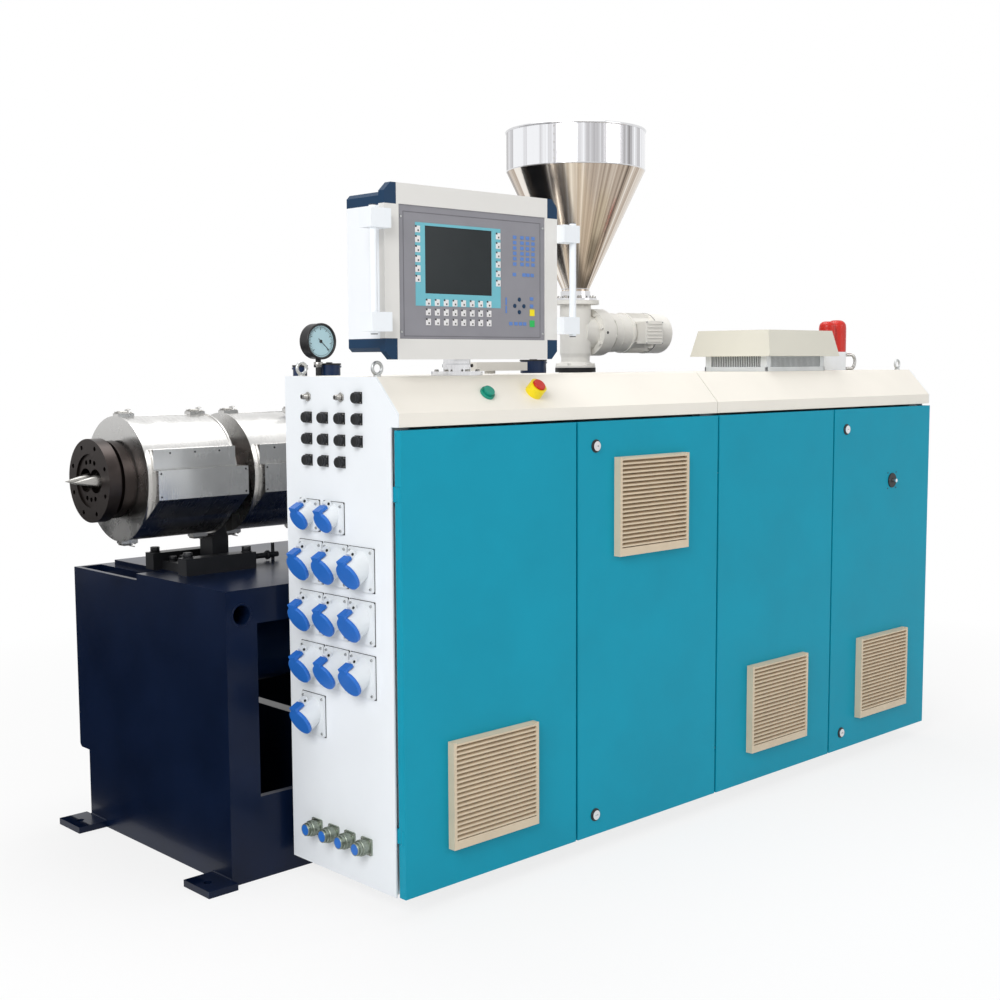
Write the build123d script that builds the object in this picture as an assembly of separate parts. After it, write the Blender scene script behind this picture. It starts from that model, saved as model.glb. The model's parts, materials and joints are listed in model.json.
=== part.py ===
"""Twin-screw plastic extruder with a built-in control cabinet, from floor level up.

Machine frame while modelling, in millimetres: x = 0 is the outer face of the cabinet's die-end panel,
y = 0 the outer face of the closed doors, z = 0 the floor. Every piece is moved to the stored frame,
whose origin is the middle of the footprint, when it is written.
"""

import math
import os

from build123d import *

# Cabinet
CABINET_LENGTH = 2400.0
CABINET_BOTTOM = 50.0
CABINET_BACK = 451.0
CABINET_TOP = 1298.0
SHEET = 2.0
END_PANEL = 4.0
PANEL_FRONT = 31.0
PLINTH_INSET = 150.0
TIES_X = [300.0, 1240.0, 2180.0]
TIE_WIDTH = 70.0
TIE_HEIGHT = 40.0

# Cover with its sloping front
RIM_FRONT = 5.0
COVER_RISE = 85.0
RIM_HEIGHT = 32.0
RIDGE_SETBACK = 79.0
COVER_SEAM = 3.0
COVER_SHEET = 3.0

# Doors and their hinges
DOOR_COUNT = 4
DOOR_SEAM = 8.0
DOOR_BOTTOM_GAP = 2.0
DOOR_TOP_GAP = 7.0
DOOR_DEPTH = 23.0
HINGE_DEPTH = 12.0
HINGE_INSET_END = 6.0
HINGE_INSET_MIDDLE = 25.0
HINGE_PIN_R = 3.5
HINGE_CLEARANCE = 0.3
HINGE_BOSS_R = 7.0
HINGE_BOSS_LENGTH = 36.0
HINGE_LUG = 8.0
HINGE_GAP = 1.0
HINGE_END_DISTANCE = 150.0
HINGE_ARM = 8.0
POST_FRONT = 46.0
POST_WIDTH = 60.0
POST_DEPTH = 30.0

# Filter grilles on the doors
GRILLE_WIDTH = 292.0
GRILLE_HEIGHT = 268.0
GRILLE_DEPTH = 22.0
GRILLE_RIM = 9.0
GRILLE_LOUVRES = 21
GRILLE_FOOT = 22.0
GRILLE_BACK = 4.0
# Left edge of each grille from its door's left edge; all stand low but the one on the second door
GRILLES_LEFT = [138.0, 142.0, 148.0, 150.0]
GRILLE_RAISE = 93.0
GRILLE_HIGH_DOOR = 1
GRILLE_DROP = 98.0
SLAT_BACK_LOW = 0.55
SLAT_FRONT_LOW = 0.25
SLAT_FRONT_HIGH = 0.62

# Door locks and the isolator shaft
LOCK_R = 13.0
LOCK_HEAD = 6.0
LOCK_INSET = 68.0
LOCK_FROM_TOP = 65.0
LOCK_FROM_BOTTOM = 56.0
ISOLATOR_FROM_END = 244.0
ISOLATOR_DROP = 247.0
ISOLATOR_R = 12.0
ISOLATOR_SHAFT_R = 6.0
ISOLATOR_SHAFT_LENGTH = 18.0

# Push buttons on the slope
START_X = 317.0
STOP_X = 480.0
BUTTON_UP_SLOPE = 54.0
BUTTON_ROUND = 6.0
START_R = 15.0
START_COLLAR_R = 18.5
START_COLLAR = 7.0
START_PROUD = 9.0
START_TRAVEL = 4.0
STOP_R = 17.0
STOP_COLLAR_R = 23.0
STOP_COLLAR = 28.0
STOP_PROUD = 6.0
STOP_TRAVEL = 5.0
BUTTON_CLEARANCE = 0.5
BUTTON_END_CLEARANCE = 1.0
COLLAR_FLOOR = 1.5

# Sockets on the die-end panel: flange width and height, from the photo's rows
SOCKET_FLANGE = 6.0
BIG_SOCKET = (96.0, 106.0)
SMALL_SOCKET = (82.0, 78.0)
BIG_SOCKET_R = 34.0
SMALL_SOCKET_R = 26.0
SOCKET_REACH = 40.0
SOCKET_TILT = 28.0
SOCKET_LID = 8.0
SOCKET_LID_PROUD = 2.0
SOCKET_HINGE = 17.0
SOCKET_HINGE_TALL = 28.0
SOCKET_ARM = 26.0
SOCKET_ARM_BACK = 20.0
SOCKET_STRAP = 8.0
SOCKET_COLUMN = 102.0
SOCKET_COLUMNS = 3
SOCKET_FIRST_Y = 145.0
# Rows of the end panel's fittings, measured down from the cabinet's top
SOCKET_ROWS = [462.0, 591.0, 722.0]
SOCKET_LAST = 853.0
SMALL_SOCKET_ROW = 345.0
SMALL_SOCKETS_Y = [253.0, 352.0]

# Signal and power connectors on the die-end panel
SIGNAL_COLUMNS_Y = [352.0, 286.0, 218.0, 150.0]
SIGNAL_ROWS = [50.0, 101.0, 154.0, 207.0]
SIGNAL_R = 11.0
SIGNAL_REACH = 16.0
SIGNAL_FLANGE = 28.0
SIGNAL_PLATE = 3.0
COAX_R = 6.0
COAX_NUT_R = 10.0
COAX_REACH = 20.0
POWER_COLUMNS_Y = [344.0, 274.0, 208.0, 141.0]
POWER_RAISE = 102.0
POWER_FLANGE = 42.0
POWER_PLATE = 4.0
POWER_R = 17.0
POWER_REACH = 34.0
POWER_CAP = 6.0

# Operator panel
HMI_LEFT = -8.0
HMI_WIDTH = 570.0
HMI_FRONT = 36.0
HMI_RAISE = 40.0
HMI_HEIGHT = 406.0
HMI_FRAME_DEPTH = 20.0
HMI_FLARE_DEPTH = 18.0
HMI_BACK_DEPTH = 124.0
HMI_BACK_STEP = 18.0
HMI_CORNER = (36.0, 49.0)
HMI_CORNER_CUT = 20.0
HMI_PLATE = (483.0, 310.0)
HMI_PLATE_T = 6.0
HMI_PLATE_RECESS = 3.0
SCREEN_SIZE = (216.0, 158.0)
SCREEN_LEFT = 81.5
SCREEN_TOP_GAP = 44.5
SCREEN_T = 2.0
HANDLE_R = 9.0
HANDLE_BRACKET = (46.0, 44.0)
HANDLE_INSET = 12.0
HANDLE_REACH = 44.0
HANDLE_DROP = 30.0
HANDLE_LIP = 5.0
SWIVEL_X = 330.0
SWIVEL_Y = 166.0
SWIVEL_FLANGE_R = 66.0
SWIVEL_FLANGE = 10.0
SWIVEL_TUBE_R = 35.0
SWIVEL_PIN_R = 20.0
SWIVEL_PIN_LENGTH = 60.0
SWIVEL_END_GAP = 2.0
SWIVEL_GAP = 0.3
SWIVEL_COLLAR_R = 35.0
SWIVEL_COLLAR = 14.0

# Roof fan, beacon and lifting eyes
FAN_FROM_END = 813.0
FAN_Y = 112.0
FAN_SIZE = (318.0, 240.0)
FAN_BASE = 48.0
FAN_PLATE = 10.0
FAN_POST = 22.0
HOOD_OVERHANG = 36.0
HOOD_HEIGHT = 82.0
HOOD_TOP_INSET = 18.0
FAN_ROTOR_R = 92.0
BEACON_FROM_END = 210.0
BEACON_Y = 250.0
BEACON_BASE = (118.0, 66.0, 59.0)
BEACON_BASE_ROUND = 30.0
BEACON_R = 33.0
BEACON_HEIGHT = 114.0
DOME_ROUND = 0.7
SIREN_R = 28.0
SIREN_OFFSET = 57.0
SIREN_DROP = 5.0
CONDUIT_R = 5.0
CONDUIT_BEND = 24.0
CONDUIT_RUN = 64.0
EYE_INSET_X = 30.0
EYE_FRONT_Y = 116.0
EYE_BACK_Y = 420.0
EYE_RING_R = 14.0
EYE_WIRE_R = 4.0
EYE_SHANK_R = 9.0
EYE_SHANK = 4.0
EYE_SINK = 1.5

# Machine axis, base frame
AXIS_Y = 880.0
AXIS_Z = 1027.0
BASE_FRONT_X = -172.0
BASE_END_X = 2650.0
BASE_NEAR_Y = 480.0
BASE_FAR_Y = 1281.0
BASE_LOW_FAR_Y = 1226.0
PEDESTAL_LENGTH = 92.0
PEDESTAL_STEP_Z = 210.0
PEDESTAL_ROUND = 14.0
DECK_TOP = 762.0
DECK_PLATE = 18.0
DECK_MIDDLE_Y = 921.0
RAIL_BOTTOM = 671.0
RAIL_WIDTH = 70.0
SILL_NEAR_TOP = 217.0
SILL_FAR_TOP = 330.0
SILL_WALL = 20.0
SILL_FLOOR = 12.0
CROSS_BEAM_X = 210.0
CROSS_BEAM = 40.0
CROSS_BEAM_TOP = 338.0
BASE_POSTS_X = [700.0, 1560.0, 2560.0]
BASE_POST = 90.0
LIFT_HOLE_R = 25.0
LIFT_HOLE_Z = 698.0
LIFT_HOLE_DEPTH = 120.0
POCKET_DEPTH = 26.0
POCKET_EDGE = 14.0
PAD_X = 86.0
PAD_Y = 120.0
PAD_T = 18.0
PAD_PROUD_Y = 28.0
ANCHOR_R = 11.0
ANCHOR_FROM_EDGE = 34.0

# Barrel, screws and covers
BARREL_R = 97.0
FLANGE_R = 110.0
FLANGE_X = -323.0
FLANGE_T = 34.0
NECK_R = 90.0
NECK_GROOVE = 14.0
CLAMP_RING_R = 103.0
CLAMP_RING = 22.0
FLANGE_FACE_R = 70.0
FLANGE_FACE_RECESS = 5.0
FLANGE_BOLTS = 8
FLANGE_BOLT_R = 6.0
FLANGE_BOLT_CIRCLE_R = 92.0
DIE_HOLE_R = 6.5
DIE_HOLE_PITCH = 22.0
DIE_HOLE_Z = 50.0
DIE_HOLE_DEPTH = 30.0
SCREW_SPACING = 52.0
BORE_R = 31.5
BORE_DEPTH = 160.0
SCREW_ROOT_R = 20.0
SCREW_FLIGHT_R = 30.0
SCREW_PITCH = 44.0
SCREW_FLIGHT_WIDTH = 15.0
SCREW_TURNS = 2.5
SCREW_TIP = 66.0
SCREW_TIP_BACK = 12.0
SCREW_POINT_R = 0.6
SCREW_FLIGHT_SINK = 1.0
SCREW_END_GAP = 2.0
JOURNAL_R = 18.0
JOURNAL_LENGTH = 60.0
JOURNAL_CLEARANCE = 0.3
COVER_R = 164.0
COVER_LENGTH = 268.0
COVER_RIM = 4.0
COVER_RIM_PROUD = 3.0
COVER_STARTS_X = [-244.0, 80.0, 500.0, 824.0]
COVER_CLEARANCE = 0.3
DUCT_LOW_FACE = 34.0
DUCT_HIGH_FACE = 10.0
DUCT_SHELF = 31.0
DUCT_TOP = 84.0
DUCT_LOW = -45.0
DUCT_FOOT = -102.0
DUCT_FROM_FRONT = 11.0
DUCT_PAST_BACK = 14.0
CLASP = (46.0, 30.0, 9.0)
CLASP_FROM_END = 26.0

# Barrel support on the deck
SUPPORT_X = 50.0
SUPPORT_WIDTH = 52.0
SUPPORT_NECK = 40.0
SUPPORT_DEPTH = 64.0
SUPPORT_SHOULDER = 852.0
SUPPORT_FOOT = (170.0, 130.0, 24.0)
SLIDE_BAR_X = 6.0
SLIDE_BAR = (222.0, 42.0, 46.0)
SLIDE_GAP = 0.5
SLIDE_BOLT_R = 9.0
SLIDE_BOLT_HEIGHT = 14.0
ADJUST_ROD_R = 8.0
ADJUST_ROD_END = 262.0
ADJUST_PIN_X = 246.0
ADJUST_PIN_R = 5.0
ADJUST_PIN = 34.0

# Vacuum vent and its gauge
VENT_X = 425.0
VENT_BLOCK = 140.0
VENT_BLOCK_RISE = 55.0
# Pots on the front vent block: x and y from the block's middle, radius and top
VENT_POTS = [(33.0, -4.0, 33.0, 1329.0), (-43.0, 38.0, 21.0, 1324.0)]
VENT_POT_LIP = 6.0
REAR_VENT_X = 1321.0
REAR_VENT_R = 44.0
REAR_VENT_TOP = 1338.0
GAUGE_X = 407.0
GAUGE_Y = 861.0
GAUGE_Z = 1394.0
GAUGE_R = 52.0
GAUGE_DEPTH = 38.0
GAUGE_RIM = 5.0
GAUGE_RECESS = 6.0
GAUGE_STEM_R = 8.0

# Junction box over the barrel
ZONE_BOX = (230.0, 120.0, 28.0)
ZONE_BOX_X = 1118.0
ZONE_BOX_Z = 1303.0
ZONE_POST_R = 18.0

# Feed throat, feeder, hopper
FEED_X = 1530.0
FEED_BLOCK = (180.0, 210.0, 214.0)
THROAT_R = 58.0
GASKET_R = 68.0
GASKET_T = 8.0
FEEDER_BOTTOM = 1303.0
FEEDER_FLANGE_R = 70.0
FEEDER_FLANGE = 14.0
FEEDER_NECK_R = 50.0
FEEDER_BODY_R = 54.0
FEEDER_TOP = 1543.0
FEEDER_TOP_FLANGE_R = 82.0
FEEDER_TOP_FLANGE = 14.0
DRIVE_Z = 1434.0
DRIVE_FLANGE_R = 82.0
DRIVE_BOSS_R = 60.0
DRIVE_FLANGE_X = 1633.0
DRIVE_FLANGE = 40.0
DRIVE_GEAR_R = 68.0
DRIVE_GEAR_END = 1773.0
DRIVE_MOTOR_R = 64.0
DRIVE_FIN = 8.0
DRIVE_MOTOR_END = 1886.0
DRIVE_FAN_R = 73.0
DRIVE_END = 1978.0
DRIVE_BOX = (90.0, 40.0, 78.0)
HOPPER_R = 239.0
HOPPER_TOP = 2120.0
HOPPER_BAND = 136.0
HOPPER_CONE_BOTTOM = 1582.0
HOPPER_SPOUT_R = 48.0
HOPPER_SHEET = 3.0

# Gearbox and main motor behind the cabinet
GEARBOX_X = 1640.0
GEARBOX_END = 2080.0
GEARBOX_WIDTH = 420.0
GEARBOX_TOP = 1236.0
GEARBOX_ROUND = 30.0
GEARBOX_RIB = 16.0
GEARBOX_RIBS = 4
GEARBOX_FOOT = 26.0
GEARBOX_FOOT_PROUD = 40.0
COUPLING_R = 120.0
COUPLING_END = 2150.0
MOTOR_R = 160.0
MOTOR_FIN = 20.0
MOTOR_FINS = 30
MOTOR_FIN_WIDTH = 8.0
MOTOR_END = 2560.0
MOTOR_FAN_END = 2646.0
MOTOR_FOOT_WIDTH = 320.0
MOTOR_FOOT = 24.0
MOTOR_LEG = 60.0
MOTOR_BOX = (150.0, 130.0, 70.0)

# Water tank under the deck
TANK_X = 30.0
TANK_END = 560.0
TANK_R = 112.0
TANK_Y = 780.0
TANK_Z = 559.0
TANK_DISH = 24.0

# Values worked out from the sizes above
RIM_TOP = CABINET_TOP - COVER_RISE
RIM_BOTTOM = RIM_TOP - RIM_HEIGHT
DOOR_TOP = RIM_BOTTOM - DOOR_TOP_GAP
DOOR_BOTTOM = CABINET_BOTTOM + DOOR_BOTTOM_GAP
HMI_BOTTOM = CABINET_TOP + HMI_RAISE
POWER_Z = CABINET_BOTTOM + POWER_RAISE
FAN_X = CABINET_LENGTH - FAN_FROM_END
BEACON_X = CABINET_LENGTH - BEACON_FROM_END
ISOLATOR_X = CABINET_LENGTH - ISOLATOR_FROM_END
ISOLATOR_Z = DOOR_TOP - ISOLATOR_DROP
DOOR_PITCH = CABINET_LENGTH / DOOR_COUNT
DOOR_WIDTH = DOOR_PITCH - DOOR_SEAM
RIDGE_Y = RIM_FRONT + RIDGE_SETBACK
SLOPE_ANGLE = math.degrees(math.atan2(CABINET_TOP - RIM_TOP, RIDGE_SETBACK))
TIP_X = FLANGE_X - SCREW_TIP + SCREW_TIP_BACK
SPOUT_BOTTOM = FEEDER_TOP
MOTOR_OUTER_R = MOTOR_R + MOTOR_FIN
PAD_FAR_Y = BASE_LOW_FAR_Y + PAD_PROUD_Y
PAD_NEAR_Y = BASE_NEAR_Y - PAD_PROUD_Y
MIN_X = TIP_X
MAX_X = BASE_END_X + PAD_X
MIN_Y = -GRILLE_DEPTH
MAX_Y = BASE_FAR_Y
TO_STORED = Pos(-(MIN_X + MAX_X) / 2, -(MIN_Y + MAX_Y) / 2, 0)


def block(x0, x1, y0, y1, z0, z1):
    """A box between two corners."""
    return Pos((x0 + x1) / 2, (y0 + y1) / 2, (z0 + z1) / 2) * Box(x1 - x0, y1 - y0, z1 - z0)


def rod_x(x0, x1, y, z, radius):
    """A round bar along x."""
    return Pos((x0 + x1) / 2, y, z) * Rot(0, 90, 0) * Cylinder(radius, x1 - x0)


def rod_y(x, y0, y1, z, radius):
    """A round bar along y."""
    return Pos(x, (y0 + y1) / 2, z) * Rot(90, 0, 0) * Cylinder(radius, y1 - y0)


def rod_z(x, y, z0, z1, radius):
    """A round bar along z."""
    return Pos(x, y, (z0 + z1) / 2) * Cylinder(radius, z1 - z0)


def prism_x(outline, x0, x1):
    """An outline of (y, z) points carried along x."""
    face = make_face(Polyline(*outline, close=True))
    return extrude(Plane.YZ.offset(x0) * face, amount=x1 - x0)


def joined(pieces):
    """One node of solids that don't touch."""
    return Compound(children=[solid for piece in pieces for solid in piece.solids()])


def fused(first, *others):
    """One solid."""
    result = first
    for other in others:
        result = result + other
    return result


def save(name, shape):
    """Writes a node in the stored frame."""
    os.makedirs("parts", exist_ok=True)
    export_step(TO_STORED * shape, f"parts/{name}.step")


# Base frame
def base_pedestal():
    """Closed end box with a stepped foot, a pocket in its top and lifting holes in its sides."""
    x0 = BASE_FRONT_X
    x1 = BASE_FRONT_X + PEDESTAL_LENGTH
    low_top = DECK_TOP - DECK_PLATE
    outline = [
        (BASE_NEAR_Y, 0),
        (BASE_LOW_FAR_Y, 0),
        (BASE_LOW_FAR_Y, PEDESTAL_STEP_Z),
        (BASE_FAR_Y, PEDESTAL_STEP_Z),
        (BASE_FAR_Y, low_top),
        (DECK_MIDDLE_Y, low_top),
        (DECK_MIDDLE_Y, DECK_TOP),
        (BASE_NEAR_Y, DECK_TOP),
    ]
    body = prism_x(outline, x0, x1)
    step_edge = body.edges().filter_by(Axis.X).sort_by_distance((x0, BASE_FAR_Y, PEDESTAL_STEP_Z))[0]
    body = fillet(step_edge, PEDESTAL_ROUND)
    pocket = block(
        x0 + POCKET_EDGE,
        x1 - POCKET_EDGE,
        DECK_MIDDLE_Y + POCKET_EDGE,
        BASE_FAR_Y - POCKET_EDGE,
        low_top - POCKET_DEPTH,
        low_top + 1,
    )
    hole_x = (x0 + x1) / 2
    near_hole = rod_y(hole_x, BASE_NEAR_Y - 1, BASE_NEAR_Y + LIFT_HOLE_DEPTH, LIFT_HOLE_Z, LIFT_HOLE_R)
    far_hole = rod_y(hole_x, BASE_FAR_Y - LIFT_HOLE_DEPTH, BASE_FAR_Y + 1, LIFT_HOLE_Z, LIFT_HOLE_R)
    body = body - pocket - near_hole - far_hole
    return body


def anchor_pads(x0, hole_x):
    """The near and far floor pads at one end of the base, each with its anchor hole."""
    pads = []
    for y0 in (PAD_NEAR_Y, PAD_FAR_Y - PAD_Y):
        pad = block(x0, x0 + PAD_X, y0, y0 + PAD_Y, 0, PAD_T)
        pads.append(pad - rod_z(hole_x, y0 + PAD_Y / 2, -1, PAD_T + 1, ANCHOR_R))
    return pads


def base_sill():
    """Long lower trough with a cross beam, its closing plate and the anchor pads at the motor end."""
    x0 = BASE_FRONT_X + PEDESTAL_LENGTH
    near = block(x0, BASE_END_X, BASE_NEAR_Y, BASE_NEAR_Y + SILL_WALL, 0, SILL_NEAR_TOP)
    far = block(x0, BASE_END_X, BASE_LOW_FAR_Y - SILL_WALL, BASE_LOW_FAR_Y, 0, SILL_FAR_TOP)
    floor = block(x0, BASE_END_X, BASE_NEAR_Y, BASE_LOW_FAR_Y, 0, SILL_FLOOR)
    end = block(BASE_END_X - SILL_WALL, BASE_END_X, BASE_NEAR_Y, BASE_LOW_FAR_Y, 0, SILL_NEAR_TOP)
    beam = block(CROSS_BEAM_X, CROSS_BEAM_X + CROSS_BEAM, BASE_NEAR_Y + SILL_WALL / 2,
                 BASE_LOW_FAR_Y - SILL_WALL / 2, 0, CROSS_BEAM_TOP)
    pads = anchor_pads(BASE_END_X, BASE_END_X + PAD_X - ANCHOR_FROM_EDGE)
    return fused(near, far, floor, end, beam, *pads)


def base_posts():
    """Posts between the lower walls and the deck rails."""
    posts = []
    for x in BASE_POSTS_X:
        posts.append(block(x, x + BASE_POST, BASE_NEAR_Y, BASE_NEAR_Y + RAIL_WIDTH,
                           SILL_NEAR_TOP, RAIL_BOTTOM))
        posts.append(block(x, x + BASE_POST, BASE_LOW_FAR_Y - RAIL_WIDTH, BASE_LOW_FAR_Y,
                           SILL_FAR_TOP, RAIL_BOTTOM))
    return joined(posts)


def deck_rails():
    """The two long rails that carry the deck plates."""
    x0 = BASE_FRONT_X + PEDESTAL_LENGTH
    low_top = DECK_TOP - DECK_PLATE
    near = block(x0, BASE_END_X, BASE_NEAR_Y, BASE_NEAR_Y + RAIL_WIDTH, RAIL_BOTTOM, low_top)
    far = block(x0, BASE_END_X, BASE_FAR_Y - 2 * RAIL_WIDTH, BASE_FAR_Y, RAIL_BOTTOM, low_top)
    return joined([near, far])


def deck_plate():
    """Thick plate over the rails that carries the barrel support, gearbox and motor."""
    x0 = BASE_FRONT_X + PEDESTAL_LENGTH
    return block(x0, BASE_END_X, BASE_NEAR_Y, BASE_FAR_Y - RAIL_WIDTH, DECK_TOP - DECK_PLATE, DECK_TOP)


# Barrel and its covers
def screw_centres():
    """The y of the two screws, near one first."""
    return (AXIS_Y - SCREW_SPACING / 2, AXIS_Y + SCREW_SPACING / 2)


def barrel():
    """Barrel with its die flange, the figure-of-eight bore and the die's bolt holes."""
    core = rod_x(FLANGE_X, FEED_X - FEED_BLOCK[0] / 2, AXIS_Y, AXIS_Z, BARREL_R)
    flange = rod_x(FLANGE_X, FLANGE_X + FLANGE_T, AXIS_Y, AXIS_Z, FLANGE_R)
    groove_x = FLANGE_X + FLANGE_T
    groove = rod_x(groove_x, groove_x + NECK_GROOVE, AXIS_Y, AXIS_Z, CLAMP_RING_R)
    groove = groove - rod_x(groove_x, groove_x + NECK_GROOVE, AXIS_Y, AXIS_Z, NECK_R)
    ring = rod_x(groove_x + NECK_GROOVE, groove_x + NECK_GROOVE + CLAMP_RING, AXIS_Y, AXIS_Z, CLAMP_RING_R)
    body = core + flange + ring - groove
    body = body - rod_x(FLANGE_X - 1, FLANGE_X + FLANGE_FACE_RECESS, AXIS_Y, AXIS_Z, FLANGE_FACE_R)
    face_x = FLANGE_X + FLANGE_FACE_RECESS
    for y in screw_centres():
        bore_end = FLANGE_X + BORE_DEPTH
        body = body - rod_x(FLANGE_X - 1, bore_end, y, AXIS_Z, BORE_R)
        journal_end = bore_end + JOURNAL_LENGTH + SCREW_TIP_BACK
        body = body - rod_x(bore_end - 1, journal_end, y, AXIS_Z, JOURNAL_R + JOURNAL_CLEARANCE)
    for side in (-1, 1):
        for column in (-1, 0, 1):
            y = AXIS_Y + column * DIE_HOLE_PITCH
            z = AXIS_Z + side * (DIE_HOLE_Z - abs(column) * DIE_HOLE_R / 2)
            body = body - rod_x(face_x - 1, face_x + DIE_HOLE_DEPTH, y, z, DIE_HOLE_R)
    for index in range(FLANGE_BOLTS):
        angle = math.radians(360 / FLANGE_BOLTS * (index + 0.5))
        y = AXIS_Y + FLANGE_BOLT_CIRCLE_R * math.cos(angle)
        z = AXIS_Z + FLANGE_BOLT_CIRCLE_R * math.sin(angle)
        body = body - rod_x(FLANGE_X - 1, FLANGE_X + FLANGE_T - FLANGE_BOLT_R, y, z, FLANGE_BOLT_R)
    return body


def screw(y, hand):
    """One screw end: cone tip, root with its flight, and the journal in the barrel."""
    root_x = FLANGE_X + SCREW_TIP_BACK
    end_x = FLANGE_X + BORE_DEPTH - SCREW_END_GAP
    journal_end = FLANGE_X + BORE_DEPTH + JOURNAL_LENGTH
    tip = Pos((TIP_X + root_x) / 2, y, AXIS_Z) * Rot(0, 90, 0) * Cone(SCREW_POINT_R, SCREW_ROOT_R, SCREW_TIP)
    body = tip + rod_x(root_x, end_x, y, AXIS_Z, SCREW_ROOT_R)
    body = body + rod_x(end_x, journal_end, y, AXIS_Z, JOURNAL_R)
    height = SCREW_PITCH * SCREW_TURNS
    middle_r = (SCREW_ROOT_R + SCREW_FLIGHT_R) / 2 - SCREW_FLIGHT_SINK
    path = Helix(SCREW_PITCH, height, middle_r, lefthand=hand < 0)
    section = Plane(path @ 0, x_dir=(1, 0, 0), z_dir=path % 0)
    profile = section * Rectangle(SCREW_FLIGHT_R - SCREW_ROOT_R + 2 * SCREW_FLIGHT_SINK, SCREW_FLIGHT_WIDTH)
    flight = sweep(profile, path=path, is_frenet=True)
    phase = 0 if hand > 0 else 180
    flight_x = root_x + SCREW_FLIGHT_WIDTH
    placed = Pos(flight_x, y, AXIS_Z) * Rot(0, 90, 0) * Rot(0, 0, phase) * flight
    return body + placed


def barrel_cover(start):
    """One heater zone's drum with its rims, side ducts and clasps."""
    end = start + COVER_LENGTH
    drum = rod_x(start, end, AXIS_Y, AXIS_Z, COVER_R)
    for x in (start, end - COVER_RIM):
        drum = drum + rod_x(x, x + COVER_RIM, AXIS_Y, AXIS_Z, COVER_R + COVER_RIM_PROUD)
    for side in (-1, 1):
        low_face = AXIS_Y + side * (COVER_R + DUCT_LOW_FACE)
        high_face = AXIS_Y + side * (COVER_R + DUCT_HIGH_FACE)
        inner = AXIS_Y + side * COVER_R / 2
        foot_y = AXIS_Y + side * math.sqrt(COVER_R**2 - DUCT_FOOT**2)
        low = [
            (low_face, AXIS_Z + DUCT_SHELF),
            (low_face, AXIS_Z + DUCT_LOW),
            (foot_y, AXIS_Z + DUCT_FOOT),
            (inner, AXIS_Z + DUCT_FOOT),
            (inner, AXIS_Z + DUCT_SHELF),
        ]
        high = [
            (high_face, AXIS_Z + DUCT_TOP),
            (high_face, AXIS_Z),
            (inner, AXIS_Z),
            (inner, AXIS_Z + DUCT_TOP),
        ]
        drum = drum + prism_x(low, start + DUCT_FROM_FRONT, end + DUCT_PAST_BACK)
        drum = drum + prism_x(high, start + DUCT_FROM_FRONT, end - DUCT_FROM_FRONT)
    for x in (start + CLASP_FROM_END, end - CLASP_FROM_END):
        for side in (-1, 1):
            clasp = Pos(x, AXIS_Y, AXIS_Z + side * COVER_R) * Box(CLASP[0], CLASP[1], 2 * CLASP[2])
            drum = drum + clasp
    return drum - rod_x(start - 1, end + DUCT_PAST_BACK + 1, AXIS_Y, AXIS_Z, BARREL_R + COVER_CLEARANCE)


def barrel_support():
    """Stanchion under the barrel with its sliding foot and adjusting rod."""
    length, width, height = SUPPORT_FOOT
    x0 = SUPPORT_X - SUPPORT_WIDTH / 2
    x1 = SUPPORT_X + SUPPORT_WIDTH / 2
    y0 = AXIS_Y - SUPPORT_DEPTH / 2
    y1 = AXIS_Y + SUPPORT_DEPTH / 2
    foot = block(SLIDE_BAR_X - length / 2, SLIDE_BAR_X + length / 2, AXIS_Y - width / 2, AXIS_Y + width / 2,
                 DECK_TOP, DECK_TOP + height)
    post = block(x0, x1, y0, y1, DECK_TOP, SUPPORT_SHOULDER)
    neck = block(SUPPORT_X - SUPPORT_NECK / 2, SUPPORT_X + SUPPORT_NECK / 2, y0, y1, DECK_TOP, AXIS_Z)
    seat = rod_x(x0 - 1, x1 + 1, AXIS_Y, AXIS_Z, BARREL_R + COVER_CLEARANCE)
    rod_height = DECK_TOP + height - ADJUST_ROD_R
    rod = rod_x(SLIDE_BAR_X, ADJUST_ROD_END, AXIS_Y, rod_height, ADJUST_ROD_R)
    pin = rod_z(ADJUST_PIN_X, AXIS_Y, DECK_TOP, rod_height + ADJUST_PIN, ADJUST_PIN_R)
    return fused(foot, post, neck - seat, rod, pin)


def slide_bars():
    """Two guide bars bolted to the deck beside the support's foot."""
    length, width, height = SLIDE_BAR
    foot_half = SUPPORT_FOOT[1] / 2 + SLIDE_GAP
    x0 = SLIDE_BAR_X - length / 2
    x1 = SLIDE_BAR_X + length / 2
    top = DECK_TOP + height
    bars = []
    for side in (-1, 1):
        inner = AXIS_Y + side * foot_half
        outer = AXIS_Y + side * (foot_half + width)
        bar = block(x0, x1, min(inner, outer), max(inner, outer), DECK_TOP, top)
        for x in (x0 + 2 * SLIDE_BOLT_R, x1 - 2 * SLIDE_BOLT_R):
            bar = bar + rod_z(x, (inner + outer) / 2, top, top + SLIDE_BOLT_HEIGHT, SLIDE_BOLT_R)
        bars.append(bar)
    return joined(bars)


# Vacuum vent
def vent_stack(x, pots):
    """Vent block saddled on the barrel with round pots on it, each with a lip below its top."""
    half = VENT_BLOCK / 2
    top = AXIS_Z + BARREL_R + VENT_BLOCK_RISE
    body = block(x - half, x + half, AXIS_Y - half, AXIS_Y + half, AXIS_Z, top)
    body = body - rod_x(x - VENT_BLOCK, x + VENT_BLOCK, AXIS_Y, AXIS_Z, BARREL_R + COVER_CLEARANCE)
    for along, across, radius, height in pots:
        body = body + rod_z(x + along, AXIS_Y + across, top, height, radius)
        lip = height - 2 * VENT_POT_LIP
        body = body + rod_z(x + along, AXIS_Y + across, lip, lip + VENT_POT_LIP, radius + VENT_POT_LIP / 2)
    return body


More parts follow.
